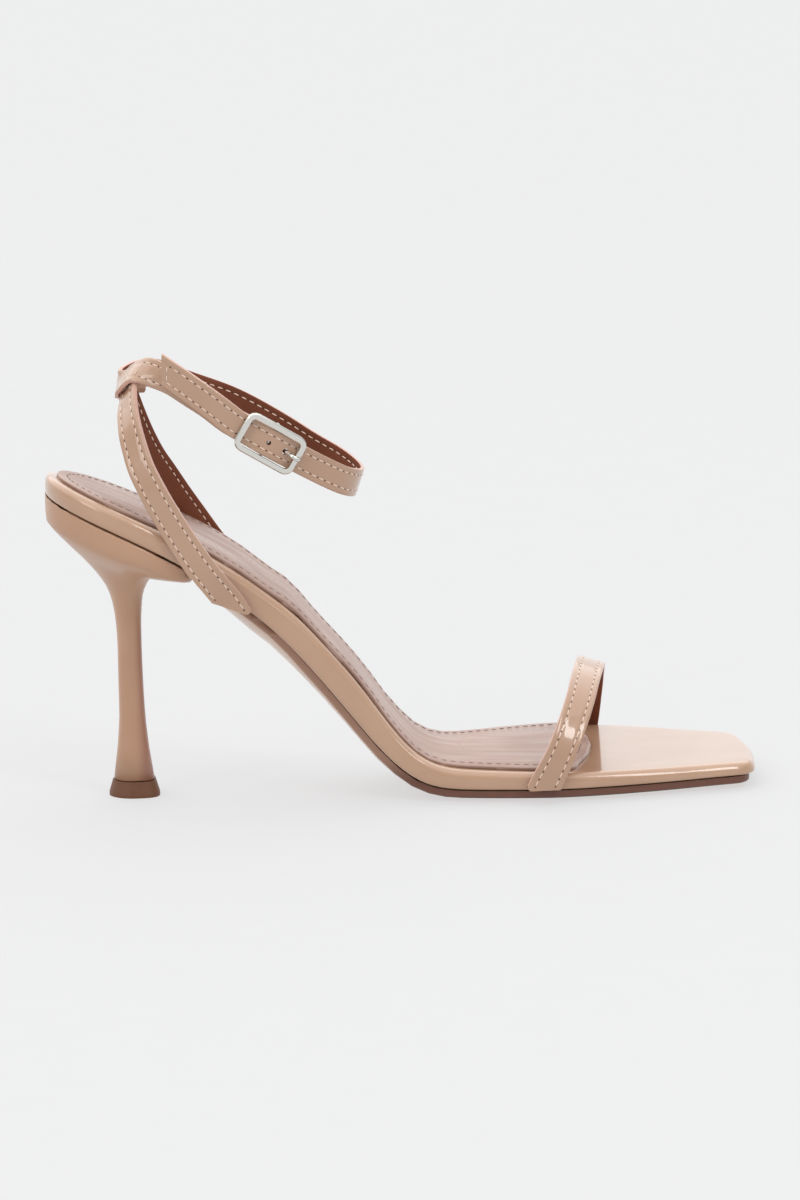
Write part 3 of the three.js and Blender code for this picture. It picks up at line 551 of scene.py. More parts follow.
def lay(piece, route, slant=0.0, groove=GROOVE):
    """Every point goes from the flat strap to the foot: along, across and through the leather."""
    mesh = piece.data
    length = max(v.co.x for v in mesh.vertices)
    for vertex in mesh.vertices:
        along, across, through = vertex.co
        near_end = max(0.0, 1 - (length - along) / CUT_WIDTH)
        spot, ahead, side, facing, width = route.at(along + across * slant * near_end)
        pulled = groove * math.exp(-(((abs(across) - ROW) / GROOVE_WIDTH) ** 2))
        through -= math.copysign(pulled, through)
        vertex.co = place(*(spot + side * across * width / CUT_WIDTH + facing * through))
    pick(piece)
    bpy.ops.object.shade_smooth_by_angle(angle=math.radians(STRAP_CREASE))


print("stitches pull the leather in by", GROOVE, "mm")

# %% [markdown]
# ## Stitches
# The stitching is the shoe's finest ornament, and it catches light, so each stitch is a real lozenge
# of thread that rises between two needle holes. One is modelled, and copies follow the two rows of
# each strap. The straps that show their lining have them on both sides.

# %% One stitch
STITCH_LONG, STITCH_WIDE, STITCH_HIGH = 1.85, 0.42, 0.28
STITCH_RISE, CLOSING_RISE = 0.25, 0.2
bpy.ops.object.select_all(action="DESELECT")
bpy.ops.mesh.primitive_uv_sphere_add(segments=6, ring_count=5, radius=0.5, rotation=(0, math.pi / 2, 0))
one_stitch = bpy.context.object
bpy.ops.object.transform_apply(location=False, rotation=True, scale=False)
one_stitch.data.transform(Matrix.Diagonal((STITCH_LONG, STITCH_WIDE, STITCH_HIGH, 1)))
one_stitch.data.materials.append(THREAD)
print("one stitch:", len(one_stitch.data.polygons), "faces")


# %% Rows of stitches
def sew(name, seats):
    """Copies of the stitch at seats of (place, direction, up), all in millimetres, joined in one piece."""
    copies = []
    for spot, ahead, up in seats:
        side = up.cross(ahead).normalized()
        copy = bpy.data.objects.new(name, one_stitch.data.copy())
        seat = Matrix((ahead.normalized(), side, ahead.cross(side).normalized())).transposed().to_4x4()
        copy.data.transform(Matrix.Translation(place(*spot)) @ Matrix.Scale(MM, 4) @ seat)
        bpy.context.scene.collection.objects.link(copy)
        copies.append(copy)
    bpy.ops.object.select_all(action="DESELECT")
    for copy in copies:
        copy.select_set(True)
    bpy.context.view_layer.objects.active = copies[0]
    bpy.ops.object.join()
    row = bpy.context.object
    row.name = name
    bpy.ops.object.shade_smooth()
    return row


def strap_seats(route, thick, sides=(1, -1), skip=(0.0, 0.0), bare=(0.0, 0.0)):
    """Where the stitches of a strap go: between the needle holes of its UV map."""
    seats = []
    for n in range(1, int(route.length / PITCH) + 1):
        along = n * PITCH
        if along < skip[0] or along > route.length - skip[1] or bare[0] < along < bare[1]:
            continue
        for across in (ROW, -ROW):
            spot, ahead, side, facing, width = route.at(along)
            spot = spot + side * across * width / CUT_WIDTH
            for face in sides:
                lift = face * (thick / 2 - GROOVE + STITCH_HIGH * STITCH_RISE)
                seats.append((spot + facing * lift, ahead, facing * face))
    return seats


def closing_seats(route, along, slant, thick):
    """A short row across a strap, which joins its two rows of stitches."""
    seats = []
    for across in (-ROW / 2, ROW / 2):
        spot, ahead, side, facing, width = route.at(along + across * slant)
        lift = facing * (thick / 2 + STITCH_HIGH * CLOSING_RISE)
        spot = spot + side * across * width / CUT_WIDTH + lift
        seats.append((spot, (side + ahead * slant).normalized(), facing))
    return seats


print("rows of stitches lie", ROW, "mm from the middle")

# %% [markdown]
# ## Toe strap
# A narrow band rises from the outer side of the board, leans forward over the toes and comes down
# on the inner side. Its ends go into the seam between board and sole, so the laid strap is cut off
# level with that seam by a bisect.

# %% Toe strap's route
HALF_BALL = 38.7
TOE_AT, TOE_RISE, TOE_SLANT, TOE_LEAN = 172.4, 37.4, 24, 0.3
TOE_WIDTH, TOE_FOOT, STRAP_THICK = 9.2, 10.4, 1.8
SEAM_HEIGHT = 4.5
# Rows of across, up and ahead, as shares of the sizes above, and a share of the foot's extra width.
TOE_ROWS = [
    (-0.974, 0.02, -0.89, 1),
    (-0.976, 0.14, -0.81, 1),
    (-0.984, 0.37, -0.63, 0.3),
    (-0.938, 0.53, -0.51, 0),
    (-0.853, 0.67, -0.4, 0),
    (-0.685, 0.83, -0.27, 0),
    (-0.452, 0.95, -0.16, 0),
    (-0.22, 1.0, -0.07, 0),
    (0.026, 1.0, 0, 0),
    (0.258, 0.944, 0.045, 0),
    (0.49, 0.835, 0.075, 0),
    (0.71, 0.695, 0.1, 0),
    (0.88, 0.535, 0.105, 0),
    (1.005, 0.375, 0.095, 0.2),
    (1.08, 0.24, 0.07, 0.6),
    (1.102, 0.12, 0.03, 1),
    (1.102, 0.02, -0.01, 1),
]

toe_route = Route(
    [
        (
            Vector((TOE_AT + ahead * TOE_SLANT, across * HALF_BALL, up * TOE_RISE)),
            Vector((TOE_LEAN * up, across, up * up)),
            TOE_WIDTH + foot * (TOE_FOOT - TOE_WIDTH),
        )
        for across, up, ahead, foot in TOE_ROWS
    ]
)
print("toe strap cut:", round(toe_route.length, 1), "mm")

# %% [markdown]
# ## Trimming the ends
# On the bench the ends of a strap are cut with a knife and their corners are nipped off round. A
# bisect does the same: it cuts along a plane, throws away what lies outside and closes the cut. A few
# bisects that turn from one side to the next leave a rounded corner.

# %% Trim and round
CORNER_REACH = 7.5
CORNER_CUTS = 4


def trim(piece, point, away):
    """Cuts off what lies past a plane, and closes the cut."""
    pick(piece)
    bpy.ops.object.mode_set(mode="EDIT")
    bpy.ops.mesh.select_all(action="SELECT")
    bpy.ops.mesh.bisect(plane_co=point, plane_no=away, use_fill=True, clear_outer=True)
    bpy.ops.object.mode_set(mode="OBJECT")


def round_corners(piece, route, along, point, away, front, rear):
    """Where a trimmed end meets the long edges of its strap, short bisects round both corners."""
    spot, _, side, _, width = route.at(along)
    for edge in (side, -side):
        radius = front if edge.x > 0 else rear
        lean = edge.dot(away)
        sideways = width / 2 - radius
        outwards = (point - spot).dot(away) - radius
        spread = 1 - lean * lean
        middle = spot + edge * ((sideways - lean * outwards) / spread)
        middle += away * ((outwards - lean * sideways) / spread)
        for cut in range(1, CORNER_CUTS + 1):
            normal = edge.slerp(away, cut / (CORNER_CUTS + 1))
            for vertex in piece.data.vertices:
                vertex.select = (vertex.co - place(*middle)).length < (CORNER_REACH + radius) * MM
            for part in (*piece.data.edges, *piece.data.polygons):
                part.select = all(piece.data.vertices[v].select for v in part.vertices)
            bpy.ops.object.mode_set(mode="EDIT")
            point_on_cut = place(*(middle + normal * radius))
            bpy.ops.mesh.bisect(plane_co=point_on_cut, plane_no=normal, use_fill=True, clear_outer=True)
            bpy.ops.object.mode_set(mode="OBJECT")


print("cuts round each corner:", CORNER_CUTS)

# %% Toe strap
DOWN = Vector((0, 0, -1))
TOE_CORNER = 1.3
TOE_SEWN_FROM = SEAM_HEIGHT + 1.2
toe_strap = cut_strap("toe_strap_leather", toe_route.length, STRAP_THICK)
mark_faces(toe_strap)
lay(toe_strap, toe_route)
seam = Vector((0, 0, SEAM_HEIGHT))
trim(toe_strap, place(*seam), DOWN)
for end in (SEAM_HEIGHT, toe_route.length - SEAM_HEIGHT):
    round_corners(toe_strap, toe_route, end, seam, DOWN, TOE_CORNER, TOE_CORNER)
toe_seats = [
    seat
    for seat in strap_seats(toe_route, STRAP_THICK, sides=(1,))
    if seat[0].z > TOE_SEWN_FROM
]
toe_stitches = sew("toe_strap_stitches", toe_seats)
for piece in (toe_strap, toe_stitches):
    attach(piece, "root")
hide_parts("toe_strap")
print("toe strap stitches:", len(toe_seats))

# %% [markdown]
# ## Quarter straps
# Two straps rise from the waist of the board to the back of the ankle, the outer one bowed out and
# back, the inner one straighter. Each is cut on a slant where it meets the board.

# %% Quarter routes
QUARTER_BACK, QUARTER_FOOT, QUARTER_END, QUARTER_TOP = 26.2, 63.2, 58.5, 133.5
QUARTER_SPREAD, QUARTER_FOOT_WIDTH, QUARTER_TOP_WIDTH = 27, 9.6, 8.4
# Rows of ahead, out and up, as shares of the sizes above, and degrees turned to face back.
LATERAL = [
    (0.905, 1.012, 0.0, 0),
    (0.857, 1.014, 0.049, 0),
    (0.786, 1.02, 0.104, 0),
    (0.706, 1.05, 0.154, 3),
    (0.548, 1.105, 0.263, 8),
    (0.36, 1.07, 0.41, 15),
    (0.184, 1.0, 0.567, 18),
    (0.084, 0.889, 0.673, 22),
    (0.038, 0.778, 0.75, 28),
    (0.008, 0.667, 0.82, 33),
    (-0.002, 0.48, 0.89, 40),
    (0.015, 0.28, 0.95, 50),
    (0.04, 0.14, 0.985, 60),
]
MEDIAL = [
    (1.02, 0.99, 0.0, 0),
    (0.965, 0.992, 0.06, 0),
    (0.871, 0.995, 0.147, 2),
    (0.742, 1.002, 0.233, 6),
    (0.607, 0.99, 0.333, 10),
    (0.477, 0.89, 0.433, 15),
    (0.347, 0.74, 0.541, 20),
    (0.242, 0.6, 0.629, 26),
    (0.147, 0.45, 0.737, 34),
    (0.06, 0.3, 0.867, 44),
    (0.01, 0.18, 0.965, 55),
]


def quarter_route(table, side):
    rows = []
    for ahead, out, up, face in table:
        turned = math.radians(face)
        spot = Vector(
            (
                QUARTER_BACK + ahead * (QUARTER_FOOT - QUARTER_BACK),
                side * out * QUARTER_SPREAD,
                QUARTER_END + up * (QUARTER_TOP - QUARTER_END),
            )
        )
        width = QUARTER_FOOT_WIDTH + up * (QUARTER_TOP_WIDTH - QUARTER_FOOT_WIDTH)
        rows.append((spot, Vector((-math.sin(turned), side * math.cos(turned), 0)), width))
    return Route(rows)


print("quarter routes in", len(LATERAL), "and", len(MEDIAL), "rows")

# %% Quarter straps
CUT_AT, CUT_SLOPE = 61, 0.4
QUARTER_CORNERS = (1.5, 2.2)
QUARTER_SEWN_FROM = CUT_AT + 1.5
TOP_CLOSE = 1.7


def quarter(name, table, side):
    route = quarter_route(table, side)
    leather = cut_strap(name + "_leather", route.length, STRAP_THICK)
    mark_faces(leather)
    lay(leather, route)
    away = Vector((-CUT_SLOPE, 0, -1)).normalized()
    foot = Vector((QUARTER_FOOT, 0, CUT_AT))
    trim(leather, place(*foot), away)
    round_corners(leather, route, CUT_WIDTH / 2, foot, away, *QUARTER_CORNERS)
    seats = [
        seat
        for seat in strap_seats(route, STRAP_THICK, skip=(0, TOP_CLOSE + PITCH / 2))
        if seat[0].z + CUT_SLOPE * (seat[0].x - QUARTER_FOOT) > QUARTER_SEWN_FROM
    ]
    seats += closing_seats(route, route.length - TOP_CLOSE, 0, STRAP_THICK)
    print(name, "cut:", round(route.length, 1), "mm,", len(seats), "stitches")
    return leather, sew(name + "_stitches", seats)


quarters = [*quarter("outer_quarter", LATERAL, -1), *quarter("inner_quarter", MEDIAL, 1)]
for piece in quarters:
    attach(piece, "root")

# %% [markdown]
# ## Tab
# The inner quarter strap's end is turned over the lower edge of the ankle strap and shows inside it as
# a small tab, which narrows and curls away from the eye. It is cut and laid as the straps are.

# %% Tab
TAB_THICK, TAB_WIDTH = 1.1, 3.2
tab_route = Route(
    [
        (Vector((31.3, 8.7, 130.8)), Vector((0, -1, 0.1)), TAB_WIDTH),
        (Vector((31.6, 8.4, 129.4)), Vector((0, -1, 0)), TAB_WIDTH),
        (Vector((31.7, 8.6, 128.4)), Vector((0, -1, -0.5)), TAB_WIDTH * 0.9),
        (Vector((31.7, 9.2, 127.7)), Vector((0, -1, -1.2)), TAB_WIDTH * 0.6),
    ]
)
tab = cut_strap("inner_quarter_tab", tab_route.length, TAB_THICK, every=0.5)
mark_faces(tab, bare=[(-1, tab_route.length + 1)])
lay(tab, tab_route, groove=0)
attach(tab, "root")
print("tab:", round(tab_route.length, 1), "mm")

# %% [markdown]
# ## Ankle strap
# The ankle strap hangs from the buckle's bar, runs back round the heel, forward along the inner side,
# turns at the front of the ankle and comes back through the buckle. Its free end lies over its own
# start. At the back it turns over, so that its face looks up and back, as leather does when it is
# pulled round a tight bend.

# %% The buckle's own directions
GAP, ANKLE_THICK = 0.3, 1.5
BUCKLE_LENGTH, BUCKLE_BAR, BUCKLE_THICK = 21.4, 1.8, 1.7
BUCKLE_AT = (70, -20, 115)
BUCKLE_SLOPE, BUCKLE_TURN = math.radians(31.5), 0.09
PIVOT, EYE_WALL, SLACK = 1.3, 0.8, 0.1

along_strap = Vector((math.cos(BUCKLE_SLOPE), BUCKLE_TURN, -math.sin(BUCKLE_SLOPE))).normalized()
across_strap = Vector((math.sin(BUCKLE_SLOPE), 0, math.cos(BUCKLE_SLOPE)))
across_strap = (across_strap - along_strap * across_strap.dot(along_strap)).normalized()
out_of_strap = along_strap.cross(across_strap)
buckle_middle = Vector(BUCKLE_AT) - Vector((0, BUCKLE_THICK, 0))


def at_buckle(along, out):
    return buckle_middle + along_strap * along + out_of_strap * out


under_bar = -(BUCKLE_THICK / 2 + GAP + ANKLE_THICK / 2)
under_free = under_bar - ANKLE_THICK - GAP
eye = PIVOT / 2 + GAP + EYE_WALL
over_eye = under_free + eye + GAP + ANKLE_THICK / 2
bar_at = (BUCKLE_LENGTH - BUCKLE_BAR) / 2
print("buckle middle", [round(c, 1) for c in buckle_middle])

# %% Rows of the loop
LOOP_BACK, LOOP_LENGTH, LOOP_HALF, LOOP_LOW, LOOP_RISE = 24.3, 76, 19.5, 97.6, 39.6
# Rows of ahead, aside and up, as shares of the sizes above, and degrees leant to face up.
LOOP = [
    (0.44, -0.985, 0.625, 0),
    (0.353, -0.93, 0.755, 0),
    (0.28, -0.86, 0.845, 0),
    (0.205, -0.72, 0.935, 4),
    (0.145, -0.57, 0.98, 16),
    (0.1, -0.43, 1.0, 32),
    (0.055, -0.28, 0.978, 48),
    (0.016, -0.14, 0.9, 40),
    (0.0, 0.03, 0.858, 10),
    (0.01, 0.22, 0.865, 4),
    (0.055, 0.41, 0.888, 0),
    (0.14, 0.6, 0.902, 0),
    (0.295, 0.81, 0.772, 0),
    (0.48, 0.95, 0.622, 0),
    (0.665, 0.98, 0.42, 0),
    (0.81, 0.9, 0.24, -5),
    (0.915, 0.68, 0.125, -12),
    (0.972, 0.36, 0.05, -18),
    (0.985, 0.0, 0.022, -20),
    (0.96, -0.36, 0.04, -14),
    (0.9, -0.65, 0.095, -6),
]
FREE_END = [
    (0.375, -1.09, 0.745, 0),
    (0.27, -1.02, 0.9, 0),
    (0.167, -0.87, 1.04, 0),
]


def loop_row(ahead, aside, up, lean):
    spot = Vector((LOOP_BACK + ahead * LOOP_LENGTH, aside * LOOP_HALF, LOOP_LOW + up * LOOP_RISE))
    turned = math.radians(lean)
    facing = Vector((spot.x - LOOP_BACK - LOOP_LENGTH / 2, 2 * spot.y, 0)).normalized()
    facing = facing * math.cos(turned) + Vector((0, 0, math.sin(turned)))
    return spot, facing, CUT_WIDTH


print("loop rows:", len(LOOP), "and", len(FREE_END), "to the free end")


# %% Ankle route
def buckle_row(along, out):
    return at_buckle(along, out), out_of_strap, CUT_WIDTH


# Rows of millimetres along the buckle and out from its middle plane.
UNDER = [(eye / 2, under_free), (-2 * eye, under_free), (-5 * eye, under_free)]
THROUGH = [
    (bar_at + BUCKLE_BAR, under_bar - SLACK),
    (bar_at - BUCKLE_BAR, under_bar - SLACK),
    (2 * eye, over_eye - SLACK),
    (0, over_eye),
    (-2 * eye, over_eye - SLACK),
    (BUCKLE_BAR - bar_at, under_bar - SLACK),
    (-bar_at - BUCKLE_BAR, under_bar - SLACK),
]
ankle_route = Route(
    [buckle_row(*row) for row in UNDER]
    + [loop_row(*row) for row in LOOP]
    + [buckle_row(*row) for row in THROUGH]
    + [loop_row(*row) for row in FREE_END]
)
print("ankle strap cut:", round(ankle_route.length, 1), "mm")

# %% [markdown]
# ## Holes and closing rows
# The free end is punched before it goes through the buckle. A cylinder stands for the punch, and a
# Boolean modifier takes it out of the strap. Both rows of stitches are closed by a short row across,
# at the free end and again behind the ankle, where the turn of the strap is left unsewn.

# %% Punch
# Each hole: millimetres along the buckle, and its radius.
PUNCHED = [(-0.5, 0.75), (5.7, 1.0)]
PUNCH_SIDES = 20


def punch(piece, along, radius):
    """A round hole through the strap's upper layer in the buckle."""
    bpy.ops.object.select_all(action="DESELECT")
    bpy.ops.mesh.primitive_cylinder_add(
        vertices=PUNCH_SIDES,
        radius=radius * MM,
        depth=3 * ANKLE_THICK * MM,
        location=place(*at_buckle(along, over_eye + ANKLE_THICK / 2)),
        rotation=out_of_strap.to_track_quat("Z", "Y").to_euler(),
    )
    cutter = bpy.context.object
    for material in STRAP_FACES:
        cutter.data.materials.append(material)
    for face in cutter.data.polygons:
        face.material_index = LINED
    bpy.context.view_layer.objects.active = piece
    hole = piece.modifiers.new("punched", "BOOLEAN")
    hole.operation = "DIFFERENCE"
    hole.object = cutter
    bpy.ops.object.modifier_apply(modifier="punched")
    bpy.data.objects.remove(cutter)


print("holes to punch:", len(PUNCHED))

# %% Ankle strap
FREE_SLANT, TIP_CLOSE, EYE_BARE = 0.55, 2.1, 4.0
BACK_CLOSE, BACK_SLANT, BACK_OPEN, BACK_MARGIN = 49.4, -0.33, 72, 1
strap_end = ankle_route.length
ankle_strap = cut_strap("ankle_strap_leather", strap_end, ANKLE_THICK)
mark_faces(ankle_strap, bare=[(BACK_CLOSE, BACK_OPEN), (strap_end - TIP_CLOSE, strap_end + 1)])
lay(ankle_strap, ankle_route, slant=FREE_SLANT)
for along, radius in PUNCHED:
    punch(ankle_strap, along, radius)
ankle_seats = strap_seats(
    ankle_route, ANKLE_THICK, skip=(EYE_BARE, TIP_CLOSE), bare=(BACK_CLOSE - BACK_MARGIN, BACK_OPEN)
)
ankle_seats += closing_seats(ankle_route, BACK_CLOSE, BACK_SLANT, ANKLE_THICK)
ankle_seats += closing_seats(ankle_route, strap_end - TIP_CLOSE, FREE_SLANT, ANKLE_THICK)
ankle_stitches = sew("ankle_strap_stitches", ankle_seats)
for piece in (ankle_strap, ankle_stitches):
    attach(piece, "root")
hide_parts("ankle_upper")
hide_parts("ankle_upper")
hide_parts("ankle_upper")
print("ankle stitches:", len(ankle_seats))

# %% [markdown]
# ## Rigid skins
# The wrapped board, sole, heel, top piece and buckle have the right shape already. Each is shown by
# a copy whose loose triangles are merged, paired into squares and shaded smooth, because patent and
# nickel show every flat facet. The board's grid is regular, so it can also be subdivided. The CAD
# leaves a thin gap between the glued layers, which would show as a dark slot, so the sock's and the
# sole's hidden sides are moved up to the board.


# %% Copy and smooth
def skin(name, node, angle, levels=0):
    """A smooth copy of a CAD node, creased where it turns by more than the angle."""
    copy = bpy.data.objects.new(name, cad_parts[node].data.copy())
    bpy.context.scene.collection.objects.link(copy)
    copy.data.materials.clear()
    pick(copy)
    bpy.ops.object.mode_set(mode="EDIT")
    bpy.ops.mesh.select_all(action="SELECT")
    bpy.ops.mesh.remove_doubles(threshold=0.00001)
    bpy.ops.mesh.tris_convert_to_quads(face_threshold=0.7, shape_threshold=1.2)
    bpy.ops.object.mode_set(mode="OBJECT")
    if levels:
        smoother = copy.modifiers.new("smoother", "SUBSURF")
        smoother.levels = smoother.render_levels = levels
        bpy.ops.object.modifier_apply(modifier="smoother")
    bpy.ops.object.shade_smooth_by_angle(angle=math.radians(angle))
    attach(copy, "root")
    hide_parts(node)
    print(name, len(copy.data.polygons), "faces")
    return copy


print("CAD nodes to cover:", len(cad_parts))

# %% Skins
LAYER_FACING = 0.5
SOCK_LOWERED, SOLE_RAISED = 0.26, 0.18


def close_gap(piece, upwards, distance):
    """The side that lies against the next layer moves to it, so that the seam is a line and no slot."""
    mesh = piece.data
    against = {}
    for face in mesh.polygons:
        if face.normal.z * upwards > LAYER_FACING:
            for vertex in face.vertices:
                against.setdefault(vertex, Vector())
                against[vertex] += face.normal
    for vertex, way in against.items():
        mesh.vertices[vertex].co += way.normalized() * distance * MM


board = skin("board_skin", "platform", 60, 2)
board.data.materials.append(PATENT)
sock = skin("sock_skin", "sock", 40)
close_gap(sock, -1, SOCK_LOWERED)
sole = skin("outsole_skin", "outsole", 35)
close_gap(sole, 1, SOLE_RAISED)
heel = skin("heel_skin", "heel", 45)
tip = skin("top_piece_skin", "top_piece", 30)
buckle = skin("buckle_skin", "buckle_frame", 35)
prong = skin("prong_skin", "buckle_prong", 40)

# %% [markdown]
# ## Finishes of the rigid parts
# The heel is wrapped in the same nude leather, but satin, and down the front of its stem a deeper,
# redder colour is painted as shade. The sock is a soft pinkish grey with fine streaks along it. The
# outsole is vegetable leather: its edge is stained red-brown, painted paler where it arches as a
# reflection of the bright floor, and painted nearly black as shade where it meets the floor, and its
# underside is pale and polished. The top piece is brown rubber and the buckle pale nickel, lightly
# brushed.

# %% Satin heel cover
STEM_MIDDLE = place(HEEL_AXIS, 0, 0).x
STEM_EDGE = 0.004
STEM_TOP = (0.045, 0.07)
# painted shade: the deeper, redder colour drawn low on the front of the stem
STEM_FRONT_SHADE = (0.33, 0.155, 0.1)


def satin():
    finish = Finish("satin_cover", (0.53, 0.3, 0.19), 0.36, Coat_Weight=0.25, Coat_Roughness=0.25)
    spot = finish.where()
    clouds = finish.noise(spot, scale=30, detail=2)
    grain = finish.noise(spot, scale=1500, detail=3)
    nude = finish.blend(clouds.ramp(0.3, 0.7), (0.5, 0.292, 0.183), (0.45, 0.25, 0.153))
    ahead, _, height = finish.axes(spot)
    # painted shade: low on the stem and on its front side the colour turns deeper and redder
    stem = 1 - height.ramp(*STEM_TOP)
    front = ahead.ramp(STEM_MIDDLE, STEM_MIDDLE + STEM_EDGE)
    finish.set("Base Color", finish.blend(stem * front, nude, STEM_FRONT_SHADE))
    finish.set("Roughness", grain * 0.12 + 0.3)
    finish.set("Normal", finish.bump(grain, strength=0.12, distance=0.0002))
    return finish.material


heel.data.materials.append(satin())
print("heel:", heel.data.materials[0].name)

# %% Sock leather
STREAKED = (0.12, 1, 0.12)


def sock_leather():
    finish = Finish("sock_leather", (0.4, 0.27, 0.24), 0.42)
    spot = finish.where()
    clouds = finish.noise(spot, scale=45, detail=3)
    grain = finish.noise(spot, scale=1100, detail=4, roughness=0.6)
    drawn = finish.read("ShaderNodeMapping", "Vector", sockets={"Vector": spot, "Scale": STREAKED})
    streaks = finish.noise(drawn, scale=260, detail=3, roughness=0.55)
    pinkish = finish.blend(clouds.ramp(0.25, 0.75), (0.44, 0.302, 0.25), (0.37, 0.238, 0.195))
    finish.set("Base Color", pinkish)
    finish.set("Roughness", grain * 0.12 + streaks.ramp(0.35, 0.65) * 0.22 + 0.22)
    finish.set("Normal", finish.bump(grain + streaks * 1.5, strength=0.22, distance=0.0002))
    return finish.material


sock.data.materials.append(sock_leather())
print("sock:", sock.data.materials[0].name)

# %% Sole leather
WALL = 0.5
# painted reflection: heights over which the edge turns paler where it arches, as if lit from the floor
SOLE_ARCH_REFLECTION = (0.005, 0.016)
# painted shade: heights over which the edge turns nearly black next to the floor
SOLE_FLOOR_SHADE = (0.001, 0.002)


def sole_edge():
    finish = Finish("sole_edge", (0.16, 0.062, 0.038), 0.4)
    spot = finish.where()
    fibres = finish.noise(spot, scale=700, detail=4, roughness=0.6)
    stained = finish.blend(fibres, (0.18, 0.07, 0.042), (0.115, 0.042, 0.026))
    above_floor = finish.axes(spot)[2]
    # painted reflection: the stained edge is drawn paler higher up, where the sole arches
    stain_and_reflection = finish.blend(above_floor.ramp(*SOLE_ARCH_REFLECTION), stained, (0.36, 0.2, 0.135))
    # painted shade: the edge is drawn nearly black where it meets the floor
    shaded = finish.blend(above_floor.ramp(*SOLE_FLOOR_SHADE), (0.02, 0.009, 0.006), stain_and_reflection)
    finish.set("Base Color", shaded)
    finish.set("Normal", finish.bump(fibres, strength=0.25, distance=0.0002))
    return finish.material


def sole_under():
    finish = Finish("sole_underside", (0.62, 0.45, 0.35), 0.25, Coat_Weight=0.4, Coat_Roughness=0.15)
    spot = finish.where()
    clouds = finish.noise(spot, scale=60, detail=4, roughness=0.6)
    finish.set("Base Color", finish.blend(clouds, (0.66, 0.48, 0.38), (0.56, 0.38, 0.29)))
    finish.set("Normal", finish.bump(clouds, strength=0.1, distance=0.0002))
    return finish.material


sole.data.materials.append(sole_edge())
sole.data.materials.append(sole_under())
for face in sole.data.polygons:
    wall = abs(face.normal.y) > WALL or face.normal.x > WALL
    face.material_index = int(not wall)
print("sole:", [material.name for material in sole.data.materials])


# %% Rubber and nickel
def rubber():
    finish = Finish("top_piece_rubber", (0.155, 0.064, 0.03), 0.55)
    spot = finish.where()
    specks = finish.noise(spot, scale=800, detail=4, roughness=0.7)
    finish.set("Base Color", finish.blend(specks, (0.155, 0.058, 0.022), (0.11, 0.04, 0.015)))
    finish.set("Normal", finish.bump(specks, strength=0.3, distance=0.0002))
    return finish.material


def nickel():
    finish = Finish("pale_nickel", (0.72, 0.71, 0.665), 0.2, Metallic=1.0)
    spot = finish.where()
    brush = finish.noise(spot, scale=1400, detail=3)
    finish.set("Roughness", brush * 0.14 + 0.14)
    finish.set("Normal", finish.bump(brush, strength=0.06, distance=0.0001))
    return finish.material


tip.data.materials.append(rubber())
metal = nickel()
buckle.data.materials.append(metal)
prong.data.materials.append(metal)
print("top piece and buckle:", tip.data.materials[0].name, metal.name)

# %% [markdown]
# ## Stitching round the sock
# The sock is sewn before it is glued in: a line of short dark stitches runs all round it, about
# three millimetres inside its edge. The line is found on the piece itself: the rim of its upper side is
# drawn in, divided evenly, and each stitch is dropped onto the surface below.

# %% The sock's rim
LOOKS_UP = 0.45


def rim_of(piece):
    """The outer rim of the faces that look up, as a closed run of places in millimetres."""
    shape = bmesh.new()
    shape.from_mesh(piece.data)
    upper = {face for face in shape.faces if face.normal.z > LOOKS_UP}
    rim = [edge for edge in shape.edges if sum(face in upper for face in edge.link_faces) == 1]
    links = {}
    for edge in rim:
        for vertex in edge.verts:
            links.setdefault(vertex.index, []).append(edge.other_vert(vertex).index)
    shape.verts.ensure_lookup_table()
    first = min(links, key=lambda v: shape.verts[v].co.x)
    run = [first]
    before, here = None, first
    while True:
        following = next((v for v in links[here] if v != before and (v not in run or v == first)), None)
        if following is None or (following == first and len(run) > 2):
            break
        run.append(following)
        before, here = here, following
    places = [shape.verts[v].co / MM for v in run]
    shape.free()
    return places


sock_rim = rim_of(sock)
print("places round the sock:", len(sock_rim))


# %% Places along the rim
def drawn_in(run, distance):
    """A closed run moved inwards in plan."""
    area = sum(a.x * b.y - b.x * a.y for a, b in zip(run, run[1:] + run[:1]))
    inward = 1 if area > 0 else -1
    moved = []
    for i, spot in enumerate(run):
        way = run[(i + 1) % len(run)] - run[i - 1]
        side = Vector((-way.y, way.x, 0)).normalized() * inward
        moved.append(spot + side * distance)
    return moved


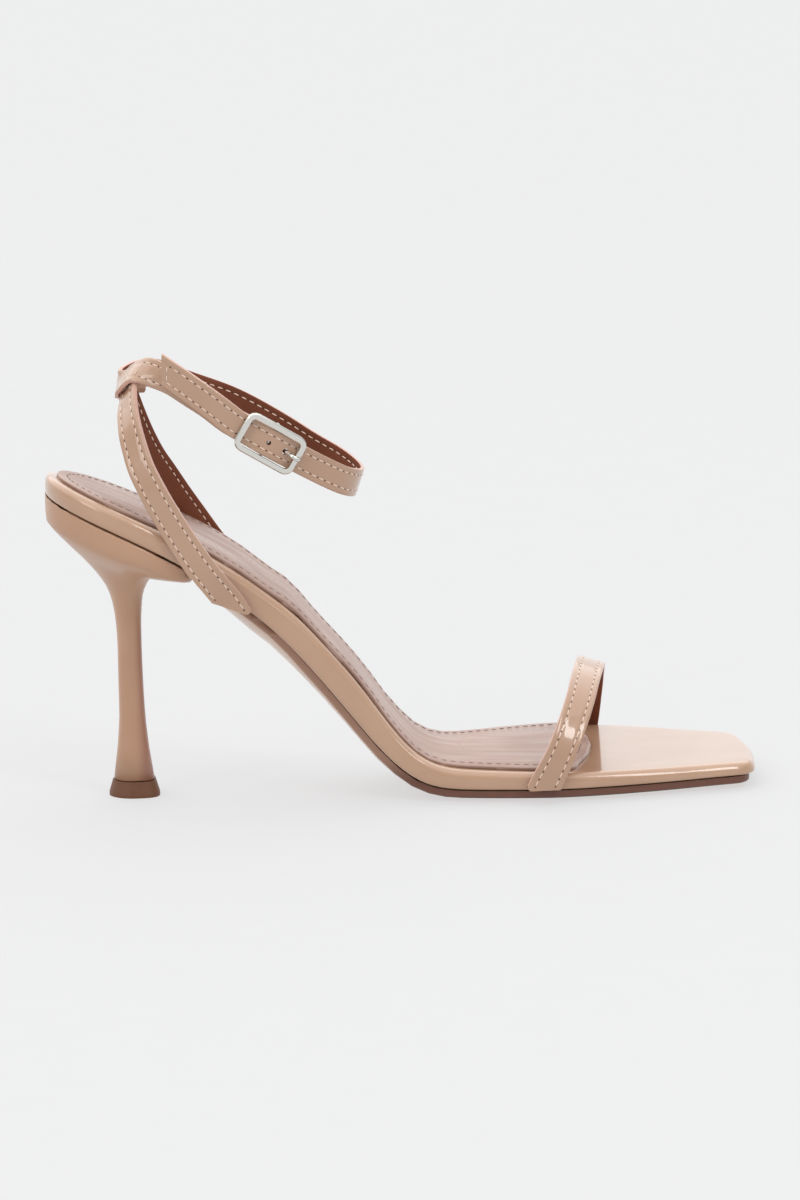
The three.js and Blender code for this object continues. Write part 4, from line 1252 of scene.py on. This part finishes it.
def evenly(run, pitch):
    """Places a pitch apart round a closed run, each with its direction."""
    seats = []
    carry = 0.0
    for a, b in zip(run, run[1:] + run[:1]):
        way = b - a
        while carry < way.length:
            seats.append((a + way.normalized() * carry, way.normalized()))
            carry += pitch
        carry -= way.length
    return seats


SOCK_DRAW_IN, SOCK_PITCH = 3.1, 2.9
sewn_line = evenly(drawn_in(sock_rim, SOCK_DRAW_IN), SOCK_PITCH)
print("places on the sewn line:", len(sewn_line))

# %% Sock stitches
DROP = 0.2
SOCK_RISE = 0.02
dark = Finish("dark_thread", (0.1, 0.055, 0.045), 0.6)
fuzz = dark.noise(dark.where(), scale=2600, detail=2)
dark.set("Base Color", dark.blend(fuzz, (0.13, 0.07, 0.055), (0.07, 0.038, 0.03)))
dark.set("Normal", dark.bump(fuzz, strength=0.4, distance=0.0001))

surface = BVHTree.FromObject(sock, bpy.context.evaluated_depsgraph_get())
sock_seats = []
for spot, way in sewn_line:
    hit, normal, _, _ = surface.ray_cast(Vector((spot.x * MM, spot.y * MM, DROP)), DOWN)
    if hit is None:
        continue
    on_top = Vector((hit.x / MM + SHOE_LENGTH / 2, hit.y / MM + MIDDLE_ASIDE, hit.z / MM))
    flat = (way - normal * way.dot(normal)).normalized()
    sock_seats.append((on_top + normal * SOCK_RISE, flat, normal))
sock_stitches = sew("sock_stitches", sock_seats)
sock_stitches.data.materials.clear()
sock_stitches.data.materials.append(dark.material)
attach(sock_stitches, "root")
print("sock stitches:", len(sock_seats))

# %% [markdown]
# ## Paper
# The floor is a sheet of matt paper on a light table. Most of its brightness comes from the lamps
# under it, so the shoe's shadow stays faint, as it is in the photograph.

# %% Floor finish
paper = Finish("paper", (0.17, 0.171, 0.172), 0.9, Emission_Strength=1.0)
paper.set("Emission Color", (0.56, 0.561, 0.564, 1))
tooth = paper.noise(paper.where(), scale=60, detail=3)
paper.set("Base Color", paper.blend(tooth, (0.175, 0.176, 0.177), (0.165, 0.166, 0.167)))
floor.data.materials.append(paper.material)
print("floor:", paper.material.name)

# %% Clear away the stitch model
bpy.data.objects.remove(one_stitch)
